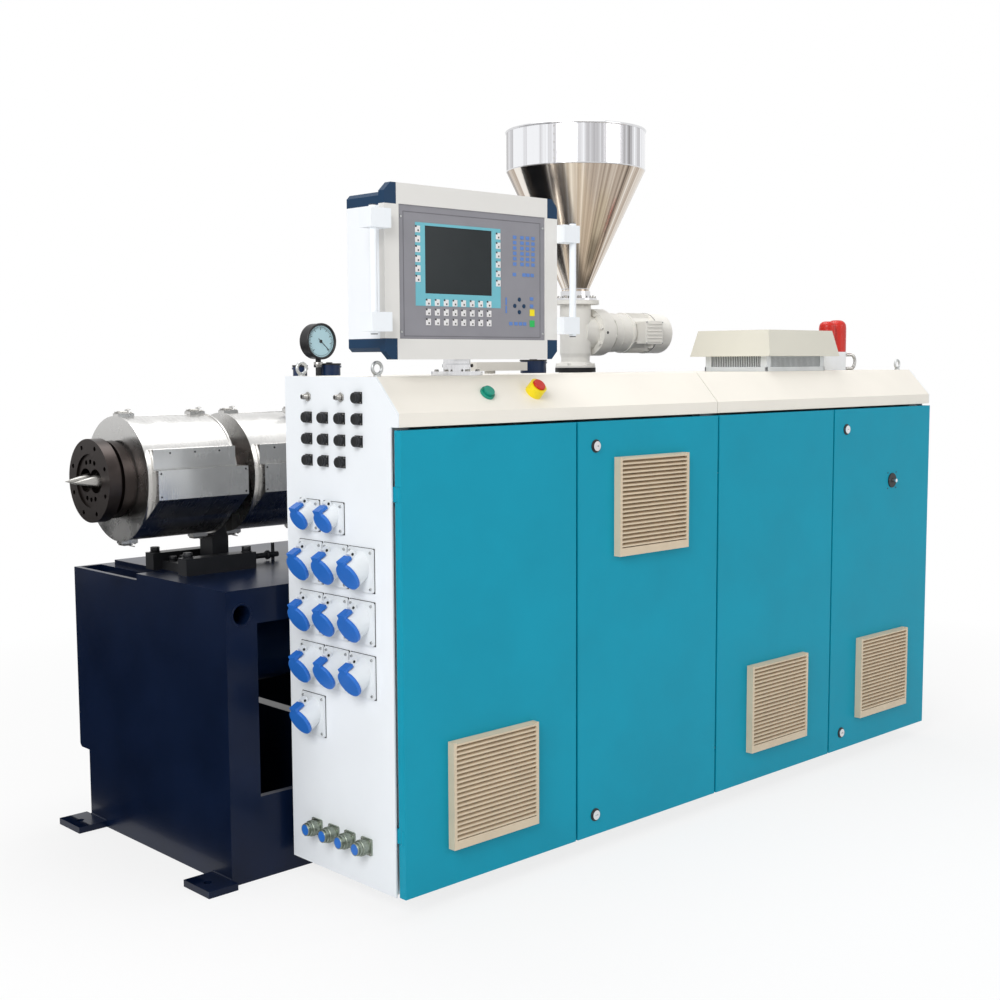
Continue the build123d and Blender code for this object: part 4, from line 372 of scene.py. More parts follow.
def make_finishes(colours):
    """Every finish of the machine: by its slot in the record, and a few more for the prints and fittings."""
    along = (0.02, 1.0, 1.0)
    round_x = (1.0, 0.04, 0.04)
    upright = (1.0, 1.0, 0.03)
    even = (1.0, 1.0, 1.0)
    return {
        # Two-pack machine enamel over filler: deep gloss with a slight wave from the plate below
        "navy_gloss": painted("Navy machine enamel", colours.navy[:], 55, 0.0006, 0.3, 0.18, 0.04, 0.15),
        # Fine-textured powder coat, sprayed and baked: satin with a close orange peel
        "teal_powder": painted("Teal powder coat", colours.teal[:], 3.0, 0.0002, 0.45, 0.04, 0.0, 0.15),
        # Satin enamel on folded sheet: smooth and pale
        "cream_enamel": painted("Cream satin enamel", colours.cream[:], 9, 0.0001, 0.36, 0.02),
        # Fine-textured powder coat, off-white
        "white_powder": painted("Off-white powder coat", colours.panel_white[:], 3.0, 0.0002, 0.45, 0.015),
        # Moulded ABS of the filter grilles: matt and warm
        "beige_plastic": moulded("Beige ABS", colours.beige[:], 0.5),
        # Brushed stainless sheet, rolled round: soft bright bands
        "brushed_stainless": brushed("Brushed stainless sheet", linear("#d3d2d0"), 0.24, round_x),
        # Polished sheet rolled to a cone: bright and dark bands of painted reflection down its height
        "polished_stainless": hopper_sheet_painted_reflections("Polished stainless with painted reflections"),
        # Gas-nitrided steel: dark brown-black, turned and a little oily
        "nitrided_steel": brushed("Nitrided steel", linear("#413b39"), 0.34, even, 3.0),
        # Ground bright steel of the screws and fasteners
        "bright_steel": brushed("Ground bright steel", linear("#a9a7a3"), 0.24, along),
        # Oil-blackened steel: near black with a dull sheen
        "black_oxide": painted("Black oxide steel", linear("#232427"), 2.5, 0.0001, 0.38, 0.1),
        # Dark blue enamel of the vent and its block
        "blue_enamel": painted("Dark blue enamel", linear("#142c50"), 12, 0.0002, 0.28, 0.08, 0.1),
        # Enamel over a sand casting: the skin shows through as a soft grain
        "cream_cast": painted("Cream enamel on casting", colours.cast_cream[:], 5, 0.0005, 0.4, 0.04),
        # Brushed-on grey enamel of the gearbox and motor: slightly uneven
        "grey_enamel": painted("Grey machine enamel", linear("#8d9092"), 8, 0.0003, 0.4, 0.05),
        # Zinc-plated sheet: grey with a dull gleam
        "zinc_sheet": brushed("Zinc-plated sheet", linear("#bfc1c1"), 0.42, even, 6.0),
        # Glass-filled polyamide of the lids: saturated, with a soft highlight
        "blue_plastic": moulded("Blue polyamide", colours.lid_blue[:], 0.33),
        # The same polyamide in light grey
        "socket_plastic": moulded("Light grey polyamide", linear("#e4e8eb"), 0.4),
        # Black polyamide: dark with a fine grain
        "black_plastic": moulded("Black polyamide", linear("#1c1c1e"), 0.42),
        # Anodised shell of the power connectors: grey-green and even
        "connector_metal": brushed("Grey-green anodised aluminium", linear("#9aa297"), 0.4, even, 3.0),
        # Polyester keypad foil: matt, finely embossed
        "keypad_grey": moulded("Grey keypad foil", colours.keypad[:], 0.45, 0.8),
        # Front glass of the display: near black and smooth
        "screen_glass": moulded("Dark screen glass", linear("#2a2f31"), 0.16, 40, 0.00002, specular=0.12),
        # ABS corner pieces: dark blue and satin
        "corner_blue": moulded("Dark blue ABS", linear("#0d3352"), 0.4, specular=0.2),
        # Bright chromium plate: a mirror with faint polishing lines
        "chrome": brushed("Chromium plate", linear("#dcdcde"), 0.1, upright, 3.0, 0.00001),
        # Polycarbonate lens of the lamp and buttons: light goes some way in
        "red_plastic": moulded("Red polycarbonate", linear("#cc2a1e"), 0.3, clear=0.05),
        # Yellow polyamide of the stop button's collar
        "yellow_plastic": moulded("Yellow polyamide", linear("#f2da1c"), 0.35),
        # Green polycarbonate lens: light goes some way in
        "green_plastic": moulded("Green polycarbonate", linear("#0f947e"), 0.3, clear=0.1),
        # Screen-printed polyester: even and matt
        "surround_print": moulded("Turquoise printed foil", colours.surround[:], 0.45, 0.8),
        "key_white": moulded("White key foil", linear("#e6e4e4"), 0.4, 0.8),
        "key_blue": moulded("Blue key foil", linear("#5b82c4"), 0.4, 0.8),
        "key_yellow": moulded("Yellow key foil", linear("#f2dd16"), 0.4, 0.8),
        "key_green": moulded("Green key foil", linear("#22b457"), 0.4, 0.8),
        # Enamelled dial, pale blue under its glass
        "dial_enamel": moulded("Pale dial enamel", linear("#b9dbe4"), 0.3, 20),
        # The line printed round the keypad: a darker grey
        "rim_print": moulded("Grey printed line", linear("#6b6a70"), 0.45, 0.8),
        # Satin enamel of the operator panel with painted light and shade: a pale grey frame, darkened as
        # painted shade on its front, the shell behind it painted nearly white for the light on its sides
        "panel_enamel_light_and_shade": panel_painted_light_and_shade("Pale grey enamel, painted light and shade", linear("#e3e1dd"), linear("#f3f6fa")),
        # Satin enamel of the fan's hood: pale, with little warmth; the tone is darkened and warmed towards
        # its shaded face, so it is partly painted shade
        "hood_enamel_painted_shade": painted("Pale hood enamel, partly painted shade", linear("#dddacd"), 6, 0.0001, 0.42, 0.02),
        # Nitrile rubber: black and dull; the same black also paints shade in the roof fan and in the slots of
        # the guard and cowls
        "rubber_and_painted_shade": moulded("Black nitrile and painted shade", linear("#17181a"), 0.6),
    }


def camera_matrix():
    """The place and turn of the photograph's camera."""
    heading = Matrix.Rotation(math.radians(-CAMERA_HEADING), 4, "Z")
    dip = Matrix.Rotation(math.radians(90 - CAMERA_DIP), 4, "X")
    roll = Matrix.Rotation(math.radians(CAMERA_ROLL), 4, "Z")
    return Matrix.Translation(CAMERA_PLACE) @ heading @ dip @ roll


def ray_share(tree, *kinds):
    """Socket that is one for rays of any of these kinds and zero for others."""
    rays = add_node(tree, "LightPath")
    share = (rays, kinds[0])
    for kind in kinds[1:]:
        share = (add_node(tree, "Math", links={0: share, 1: (rays, kind)}, operation="MAXIMUM"), "Value")
    return share


class EXTRUDER_OT_stage(bpy.types.Operator):
    """Makes the pale floor, the soft light, the white surround and the camera"""

    bl_idname = "extruder.stage"
    bl_label = "Studio"

    def execute(self, context):
        scene = context.scene
        scene.view_settings.view_transform = "Standard"
        shape = bmesh.new()
        bmesh.ops.create_circle(shape, cap_ends=True, segments=64, radius=scene.extruder_sizes.floor_radius)
        floor = link_mesh("Studio_floor", shape)
        floor.data.materials.append(floor_material())

        world = bpy.data.worlds.new("Studio")
        scene.world = world
        world.use_nodes = True
        tree = world.node_tree
        tree.nodes.clear()
        seen = ray_share(tree, "Is Camera Ray", "Is Glossy Ray", "Is Transmission Ray")
        level = add_node(tree, "MapRange", {"To Min": SURROUND_LIGHT, "To Max": 1.0}, {"Value": seen})
        light = add_node(tree, "Background", {"Color": (1.0, 1.0, 1.0, 1.0)}, {"Strength": (level, "Result")})
        output = add_node(tree, "OutputWorld", links={"Surface": (light, "Background")})
        output.is_active_output = True

        # A dark flag lies out of sight beyond the die end and another stands there: only the metal and gloss
        # that face them pick them up
        felt = flag_material()
        lying = Matrix.LocRotScale((-3.0, 2.3, 0.02), None, (1.6, 2.4, 1.0))
        turn = Euler((math.radians(90), 0.0, math.radians(28)))
        standing = Matrix.LocRotScale((-4.0, 5.2, 0.34), turn, (1.9, 0.34, 1.0))
        for name, place in (("Dark_flag", lying), ("Standing_flag", standing)):
            shape = bmesh.new()
            bmesh.ops.create_grid(shape, x_segments=1, y_segments=1, size=1.0, matrix=place)
            flag = link_mesh(name, shape)
            flag.data.materials.append(felt)
            flag.visible_camera = False
            flag.visible_diffuse = False
            flag.visible_shadow = False

        for lamp in SOFTBOXES:
            soft_lamp(*lamp)

        lens = bpy.data.cameras.new("Photo camera")
        lens.sensor_width = CAMERA_SENSOR
        lens.sensor_fit = "HORIZONTAL"
        lens.lens = CAMERA_LENS
        lens.clip_end = 200.0
        camera = bpy.data.objects.new("Photo camera", lens)
        scene.collection.objects.link(camera)
        camera.matrix_world = camera_matrix()
        scene.camera = camera
        return {"FINISHED"}


def soft_lamp(name, place, size, power):
    """A square softbox that faces the machine's middle."""
    lamp = bpy.data.lights.new(name, "AREA")
    lamp.shape = "SQUARE"
    lamp.size = size
    lamp.energy = power
    holder = bpy.data.objects.new(name, lamp)
    bpy.context.scene.collection.objects.link(holder)
    holder.location = place
    aim = Vector(LAMP_AIM) - Vector(place)
    holder.rotation_euler = aim.to_track_quat("-Z", "Y").to_euler()


def floor_material():
    """Pale seamless paper: white to the eye, with the machine's shadow left faint on it near by."""
    material, tree, shader = new_material("White paper floor")
    where = add_node(tree, "TexCoord")
    fibres = add_node(tree, "TexNoise", {"Scale": per_size(400)}, {"Vector": (where, "Object")})
    bump = add_node(tree, "Bump", {"Strength": 0.02}, {"Height": (fibres, "Fac")})
    set_shader(tree, shader, {"Base Color": linear("#f4f4f4"), "Roughness": 0.9, "Specular IOR Level": 0.0},
               {"Normal": (bump, "Normal")})
    seen = ray_share(tree, "Is Camera Ray", "Is Glossy Ray")
    reach = add_node(tree, "VectorMath", links={0: (where, "Object")}, operation="LENGTH")
    white = add_node(tree, "MapRange", {"From Min": 1.6, "From Max": 3.4, "To Min": 0.78, "To Max": 1.0},
                     {"Value": (reach, "Value")})
    share = add_node(tree, "Math", links={0: seen, 1: (white, "Result")}, operation="MULTIPLY")
    glow = add_node(tree, "Emission", {"Color": (1.0, 1.0, 1.0, 1.0), "Strength": 1.0})
    mixed = add_node(tree, "MixShader",
                     links={0: (share, "Value"), 1: (shader, "BSDF"), 2: (glow, "Emission")})
    output = next(n for n in tree.nodes if n.type == "OUTPUT_MATERIAL")
    tree.links.new(mixed.outputs["Shader"], output.inputs["Surface"])
    return material


def flag_material():
    """Black felt: it gives nothing back but a faint nap."""
    material, tree, shader = new_material("Black felt")
    where = add_node(tree, "TexCoord")
    nap = add_node(tree, "TexNoise", {"Scale": per_size(30)}, {"Vector": (where, "Object")})
    tone = add_node(tree, "ValToRGB", links={"Fac": (nap, "Fac")})
    set_ramp(tone, [(0.3, linear("#0b0c10")), (0.7, linear("#16181d"))])
    set_shader(tree, shader, {"Roughness": 0.9, "Specular IOR Level": 0.0}, {"Base Color": (tone, "Color")})
    return material


FINISHES = {}
# Solids whose finish is not that of their slot
NODE_FINISHES = {"hmi_housing": "panel_enamel_light_and_shade", "roof_fan_hood": "hood_enamel_painted_shade"}


class EXTRUDER_OT_finishes(bpy.types.Operator):
    """Gives every solid of the frame the finish of its slot"""

    bl_idname = "extruder.finishes"
    bl_label = "Finishes"

    def execute(self, context):
        FINISHES.update(make_finishes(context.scene.extruder_colours))
        for subpart in frame["record"]["subparts"]:
            node_name = subpart["node"]
            for place in frame["nodes"][node_name].material_slots:
                place.material = FINISHES[NODE_FINISHES.get(node_name, subpart["material_slot"])]
        return {"FINISHED"}


def link_mesh(name, shape):
    """Turns a bmesh into an object in the scene, at the origin."""
    mesh = bpy.data.meshes.new(name)
    shape.to_mesh(mesh)
    shape.free()
    made = bpy.data.objects.new(name, mesh)
    bpy.context.scene.collection.objects.link(made)
    return made


def piece(name, shape, slot, body="machine", finish=None, at=None):
    """Makes a shape drawn in machine millimetres a piece on its body, in its slot's finish or another."""
    shape.transform(TO_STORED if at is None else TO_STORED @ at)
    made = link_mesh(name, shape)
    made.data.shade_smooth()
    made.data.set_sharp_from_angle(angle=math.radians(35))
    made.data.materials.append(FINISHES[finish or slot])
    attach(made, body)
    return made


def facing(place, normal, turn=0.0):
    """The place of a part drawn along +Z, stood on a point with its Z along a normal."""
    stand = Vector(normal).to_track_quat("Z", "Y").to_matrix().to_4x4()
    return Matrix.Translation(place) @ stand @ Matrix.Rotation(turn, 4, "Z")


def join(shape, part, place=None):
    """Adds another bmesh to a shape at a place, and frees it."""
    if place is not None:
        part.transform(place)
    carrier = bpy.data.meshes.new("carrier")
    part.to_mesh(carrier)
    part.free()
    shape.from_mesh(carrier)
    bpy.data.meshes.remove(carrier)


def gathered(make, places, *sizes):
    """One bmesh with a part, made afresh in the given sizes, at each of several places."""
    shape = bmesh.new()
    for place in places:
        join(shape, make(*sizes), place)
    return shape


def turned(profile, steps=32, closed=False):
    """A part turned about Z from points of radius and height; closed for a ring's section."""
    shape = bmesh.new()
    points = [shape.verts.new((radius, 0, height)) for radius, height in profile]
    lines = [shape.edges.new(pair) for pair in zip(points, points[1:])]
    if closed:
        lines.append(shape.edges.new((points[-1], points[0])))
    bmesh.ops.spin(shape, geom=points + lines, axis=UP, cent=(0, 0, 0), angle=2 * math.pi, steps=steps,
                   use_merge=True)
    bmesh.ops.remove_doubles(shape, verts=shape.verts, dist=0.0005)
    bmesh.ops.recalc_face_normals(shape, faces=shape.faces)
    return shape


def disc(radius, thickness, soft=0.0, steps=32):
    """A round plate from its foot at zero, its upper edge softened."""
    soft = soft or thickness / 4
    profile = [(0, 0), (radius, 0), (radius, thickness - soft), (radius - soft, thickness), (0, thickness)]
    return turned(profile, steps)


def ring(outer, inner, thickness, soft=0.0, steps=48):
    """A flat ring from its foot at zero, both upper edges softened."""
    soft = soft or thickness / 4
    section = [(inner, 0), (outer, 0), (outer, thickness - soft), (outer - soft, thickness),
               (inner + soft, thickness), (inner, thickness - soft)]
    return turned(section, steps, closed=True)


def hoop(radius, wire, steps=64, sides=12):
    """A round wire bent to a hoop about Z."""
    section = [(radius + wire * math.cos(2 * math.pi * i / sides), wire * math.sin(2 * math.pi * i / sides))
               for i in range(sides)]
    return turned(section, steps, closed=True)


def slab(low, high, soft=0.0, steps=2):
    """A block between two corners with softened edges."""
    shape = bmesh.new()
    low = Vector(low)
    high = Vector(high)
    place = Matrix.LocRotScale((low + high) / 2, None, high - low)
    bmesh.ops.create_cube(shape, size=1.0, matrix=place)
    if soft:
        bmesh.ops.bevel(shape, geom=shape.edges[:], offset=soft, offset_type="OFFSET", affect="EDGES",
                        segments=steps, profile=0.5, material=-1)
    return shape


def hexagon(flats, height, soft):
    """A hexagon bar from its foot at zero, its edges broken."""
    shape = bmesh.new()
    corner = flats / math.sqrt(3)
    bmesh.ops.create_cone(shape, cap_ends=True, segments=6, radius1=corner, radius2=corner, depth=height,
                          matrix=Matrix.Translation((0, 0, height / 2)))
    bmesh.ops.bevel(shape, geom=shape.edges[:], offset=soft, offset_type="OFFSET", affect="EDGES", segments=1,
                    profile=0.5, material=-1)
    return shape


def hex_bolt(flats):
    """A hexagon bolt head on its washer."""
    washer = flats / 8
    shape = disc(flats * 0.64, washer, steps=24)
    join(shape, hexagon(flats, flats * 0.55, flats / 24), Matrix.Translation((0, 0, washer)))
    return shape


def socket_screw(diameter):
    """A round screw head with a driver's recess."""
    radius = diameter / 2
    height = diameter * 0.42
    recess = height * 0.35
    profile = [(0, recess), (radius * 0.42, recess), (radius * 0.5, height), (radius * 0.8, height),
               (radius, height * 0.55), (radius, 0), (0, 0)]
    return turned(profile, 16)


def bolt_circle(centre, normal, radius, count, start=0.0):
    """Places evenly round a centre, all standing along a normal."""
    arm = Matrix.Translation((radius, 0, 0))
    return [facing(centre, normal, start + 2 * math.pi * i / count) @ arm for i in range(count)]


def frame_plate(outer, inner, y, proud):
    """A flat rectangular frame in the XZ plane, standing proud of a face towards the doors."""
    shape = bmesh.new()
    loops = []
    for x0, x1, z0, z1 in (outer, inner):
        points = [shape.verts.new(point) for point in ((x0, y, z0), (x1, y, z0), (x1, y, z1), (x0, y, z1))]
        loops += [shape.edges.new((points[i - 1], points[i])) for i in range(4)]
    bmesh.ops.bridge_loops(shape, edges=loops)
    raised = bmesh.ops.extrude_face_region(shape, geom=shape.faces[:])
    lifted = [v for v in raised["geom"] if isinstance(v, bmesh.types.BMVert)]
    bmesh.ops.translate(shape, verts=lifted, vec=(0, -proud, 0))
    bmesh.ops.recalc_face_normals(shape, faces=shape.faces)
    return shape


def shrunk(outline, by):
    """A rectangle's limits drawn in on all four sides, or out by a negative distance."""
    left, right, low, high = outline
    return left + by, right - by, low + by, high - by


def key_grid(left, top, across, down, columns, rows):
    """Key centres in rows and columns, from the one at the top left."""
    return [(left + across * column, top - down * row)
            for row in range(rows) for column in range(columns)]


class EXTRUDER_OT_operator_keys(bpy.types.Operator):
    """Lays the printed frame, the rim line and the keys on the operator panel, and fits its swivel"""

    bl_idname = "extruder.operator_keys"
    bl_label = "Operator keys"

    def execute(self, context):
        sizes = context.scene.extruder_sizes
        body = "operator_panel"
        surround = frame_plate(SCREEN_SURROUND, SCREEN, PLATE_FRONT, 0.5)
        piece("screen_surround", surround, "keypad_grey", body, "surround_print")
        rim_line = frame_plate(KEYPAD_RIM, shrunk(KEYPAD_RIM, 1.4), PLATE_FRONT, 0.6)
        piece("keypad_rim_line", rim_line, "keypad_grey", body, "rim_print")

        half = Vector((mm(sizes.key_width) / 2, 0, mm(sizes.key_height) / 2))
        proud = Vector((0, mm(sizes.key_proud), 0))
        white_keys = key_grid(94.3, 1642, 0, 23, 1, 6) + key_grid(355, 1640, 0, 23, 1, 6)
        white_keys += key_grid(125.5, 1472.5, 28.2, 23, 8, 3)
        keys = bmesh.new()
        lamps = bmesh.new()
        for x, z in white_keys:
            middle = Vector((x, PLATE_FRONT, z))
            join(keys, slab(middle - half - proud, middle + half, 0.6, 1))
            lamp = middle + Vector((-half.x * 0.75, 0, half.z * 0.8)) - proud * 0.8
            join(lamps, disc(2.4, 1.0, steps=12), facing(lamp, FRONT))
            sign = middle - proud
            join(lamps, slab(sign + Vector((-1, -0.2, -5)), sign + Vector((3, 0.4, -1))))
        piece("white_keys", keys, "keypad_grey", body, "key_white")
        piece("key_lamps", lamps, "black_plastic", body)

        # Number, edit, shift, jog and state keys, then two upright ones beside the arrows
        small_keys = key_grid(438, 1641, 19.5, 13.2, 3, 6) + key_grid(412.5, 1641, 0, 13.2, 1, 6)
        small_keys += [(x, 1549) for x in (411, 445, 459, 474)]
        small_keys += [(x, 1426.7) for x in (398, 416, 432, 447)]
        small_keys += key_grid(471.7, 1490, 0, 18, 1, 2)
        shapes = [(place, Vector((6, 0, 4.2))) for place in small_keys]
        shapes += [(place, Vector((2.4, 0, 9))) for place in key_grid(382, 1482, 0, 20.5, 1, 2)]
        blue = bmesh.new()
        for (x, z), reach in shapes:
            middle = Vector((x, PLATE_FRONT, z))
            join(blue, slab(middle - reach - proud * 0.6, middle + reach, 0.4, 1))
        piece("blue_keys", blue, "keypad_grey", body, "key_blue")
        arrows = [facing((x, PLATE_FRONT, z), FRONT)
                  for x, z in ((428, 1487), (428, 1455.8), (411.8, 1471), (444, 1471))]
        piece("arrow_keys", gathered(disc, arrows, 5.2, proud.y, 0.0, 20), "corner_blue", body)
        for name, z, finish in (("yellow_key", 1455, "key_yellow"), ("green_key", 1427.5, "key_green")):
            key = slab((464.8, PLATE_FRONT - proud.y, z - 8.4), (481.6, PLATE_FRONT, z + 8.4), 0.6, 1)
            piece(name, key, "keypad_grey", body, finish)

        screws = [facing((x, PLATE_FRONT, z), FRONT) for x in (42.5, 511) for z in (1402, 1668)]
        piece("keypad_screws", gathered(socket_screw, screws, 6), "zinc_sheet", body)
        caps = [facing((x, HANDLE_Y, z), way)
                for x in HANDLES_X for z, way in zip(HANDLE_ENDS_Z, (DOWN, UP))]
        piece("handle_caps", gathered(disc, caps, 8.2, 2.0, 0.0, 24), "black_plastic", body)

        piece("swivel_clamp", ring(38, 34.2, 9, 1.2), "chrome", at=Matrix.Translation((*SWIVEL, 1318)))
        clamp_screw = facing((SWIVEL[0] + 22, SWIVEL[1] - 31, 1322.5), (0.57, -0.82, 0))
        piece("swivel_clamp_screw", socket_screw(9), "nitrided_steel", at=clamp_screw)
        bolts = bolt_circle((*SWIVEL, 1308), UP, 52, 6, 0.3)
        piece("swivel_flange_screws", gathered(socket_screw, bolts, 12), "bright_steel")
        return {"FINISHED"}


class EXTRUDER_OT_gauge_dial(bpy.types.Operator):
    """Puts the dial, its marks, the needle and the bezel on the vacuum gauge"""

    bl_idname = "extruder.gauge_dial"
    bl_label = "Gauge dial"

    def execute(self, context):
        stand = facing((GAUGE_X, GAUGE_FACE_Y, GAUGE_Z), FRONT)
        seat = stand @ Matrix.Translation((0, 0, -6))
        piece("gauge_dial", disc(46.6, 1.0, steps=64), "white_powder", finish="dial_enamel", at=seat)
        marks = bmesh.new()
        steps = 40
        for step in range(steps + 1):
            half, inner = (0.9, 33) if step % 5 == 0 else (0.45, 36)
            turn = Matrix.Rotation(math.radians(-135 + 270 * step / steps), 4, "Z")
            join(marks, slab((-half, inner, 1), (half, 41, 1.25)), seat @ turn)
        join(marks, ring(42.4, 41.6, 0.25), seat @ Matrix.Translation((0, 0, 1)))
        needle = slab((-0.8, -12, 2.2), (0.8, 36, 3.0))
        join(needle, disc(5, 3.6, steps=24))
        join(marks, needle, seat @ Matrix.Rotation(math.radians(-132), 4, "Z"))
        piece("gauge_marks", marks, "black_plastic")
        bezel = stand @ Matrix.Translation((0, 0, -4))
        piece("gauge_bezel", ring(53.2, 46.4, 5, 1.6, 64), "black_plastic", at=bezel)
        piece("gauge_nut", hexagon(24, 16, 1), "bright_steel", at=Matrix.Translation((GAUGE_X, 861, 1318)))
        return {"FINISHED"}


def socket_stations():
    """Centre, flange size and barrel radius of every socket on the die-end panel."""
    columns = [145 + 102 * column for column in range(3)]
    small = [(y, 953, *SMALL_SOCKET) for y in (253, 352)]
    large = [(y, z, *BIG_SOCKET) for z in (836, 707, 576) for y in columns]
    return small + large + [(columns[-1], 445, *BIG_SOCKET)]


def socket_mouth(y, z, radius):
    """The frame of a socket's barrel: its Z out of the mouth, leaning down from the panel."""
    lean = math.sin(SOCKET_TILT)
    out = math.cos(SOCKET_TILT)
    return Matrix(((0, -lean, -out, -SOCKET_FLANGE),
                   (-1, 0, 0, y),
                   (0, out, -lean, z + radius * lean / 2),
                   (0, 0, 0, 1)))


def corner_places(x, y, z, across, up):
    """The four corners of a rectangle about a point of the die-end panel, facing out of it."""
    return [facing((x, y + side * across, z + level * up), LEFT)
            for side in (-1, 1) for level in (-1, 1)]


def signal_stations():
    """Centres of the signal connectors, apart from the two coaxial ones."""
    rows = {1197: (352, 286, 218, 150), 1144: (352, 286, 218, 150), 1091: (352, 286, 218)}
    return [(150, 1248)] + [(y, z) for z, columns in rows.items() for y in columns]


class EXTRUDER_OT_panel_fittings(bpy.types.Operator):
    """Adds the screws, hinge pins, rings and faces of the connectors on the die-end panel"""

    bl_idname = "extruder.panel_fittings"
    bl_label = "Panel fittings"

    def execute(self, context):
        screws = []
        pins = bmesh.new()
        rims = bmesh.new()
        gaskets = bmesh.new()
        for y, z, (wide, tall), radius in socket_stations():
            screws += corner_places(-SOCKET_FLANGE, y, z, wide / 2 - 9, tall / 2 - 9)
            mouth = socket_mouth(y, z, radius)
            reach = SOCKET_REACH * radius / BIG_SOCKET[1]
            pin = mouth @ facing((6.5, radius + 8, reach - SOCKET_HINGE_BACK), RIGHT)
            join(pins, disc(3.6, 0.8, steps=16), pin)
            rim = mouth @ Matrix.Translation((0, 0, reach - 7))
            join(rims, ring(radius + 1.1, radius - 0.5, 4, 0.8), rim)
            across, up = wide / 2 + 1.2, tall / 2 + 1.2
            join(gaskets, slab((-1.6, y - across, z - up), (-0.1, y + across, z + up), 0.6, 1))
        panel_screw = mm(context.scene.extruder_sizes.panel_screw)
        piece("socket_screws", gathered(socket_screw, screws, panel_screw), "zinc_sheet")
        piece("socket_hinge_pins", pins, "black_plastic")
        piece("socket_rims", rims, "socket_plastic")
        piece("socket_gaskets", gaskets, "black_plastic", finish="rubber_and_painted_shade")
        self.signal_fittings()
        self.power_fittings()
        return {"FINISHED"}

    def signal_fittings(self):
        """Threaded rings and inserts of the signal connectors, and the two coaxial ones."""
        stations = signal_stations()
        shell = [(11.2, 0), (13, 0), (13, 4), (12.2, 5), (12.2, 8), (13, 9), (13, 12), (12, 13.6),
                 (9.4, 13.6), (9.4, 12.6)]
        rings = [facing((-3, y, z), LEFT) for y, z in stations]
        piece("signal_rings", gathered(turned, rings, shell, 32), "black_oxide")
        inserts = [facing((-15.4, y, z), LEFT) for y, z in stations]
        piece("signal_inserts", gathered(disc, inserts, 9.3, 1.0, 0.0, 24), "black_plastic", finish="rubber_and_painted_shade")
        screws = [place for y, z in stations for place in corner_places(-3, y, z, 10.6, 10.6)]
        piece("signal_screws", gathered(socket_screw, screws, 4.4), "bright_steel")

        thread = [(6.1, 4)]
        for turn in range(7):
            thread += [(7.0, 5 + 2 * turn), (6.3, 6 + 2 * turn)]
        thread += [(6.1, 20.4), (4.4, 20.4), (4.4, 16), (1.6, 16), (1.6, 19.4), (0, 19.4)]
        coax = bmesh.new()
        for y in (352, 218):
            place = facing((0, y, 1248), LEFT)
            join(coax, hexagon(21, 4, 0.5), place)
            join(coax, turned(thread, 24), place)
        piece("coax_shells", coax, "bright_steel")

    def power_fittings(self):
        """Ribbed grips and faces of the power connectors along the panel's foot."""
        grips = bmesh.new()
        faces = bmesh.new()
        screws = []
        ribs = 24
        for y in (344, 274, 208, 141):
            place = facing((0, y, POWER_Z), LEFT)
            join(grips, ring(19.4, 17, 12, 1.0), place @ Matrix.Translation((0, 0, 14)))
            for rib in range(ribs):
                spot = place @ Matrix.Rotation(2 * math.pi * rib / ribs, 4, "Z")
                join(grips, slab((19.0, -0.8, 15), (20.3, 0.8, 25)), spot)
            join(grips, ring(15.6, 13.4, 3, 0.6), place @ Matrix.Translation((0, 0, 37.6)))
            join(faces, disc(13.4, 1.2, steps=32), place @ Matrix.Translation((0, 0, 39.6)))
            screws += corner_places(-4, y, POWER_Z, 16, 16)
        piece("power_grips", grips, "connector_metal")
        piece("power_faces", faces, "blue_plastic")
        piece("power_screws", gathered(socket_screw, screws, 5.5), "bright_steel")


def border(outline, wall, low, high, soft=0.0):
    """Four bars round the inside of a rectangle in plan: front, back, left and right."""
    x0, x1, y0, y1 = outline
    shape = bmesh.new()
    for foot, head in (((x0, y0), (x1, y0 + wall)), ((x0, y1 - wall), (x1, y1)),
                       ((x0, y0), (x0 + wall, y1)), ((x1 - wall, y0), (x1, y1))):
        join(shape, slab((*foot, low), (*head, high), soft, 1))
    return shape


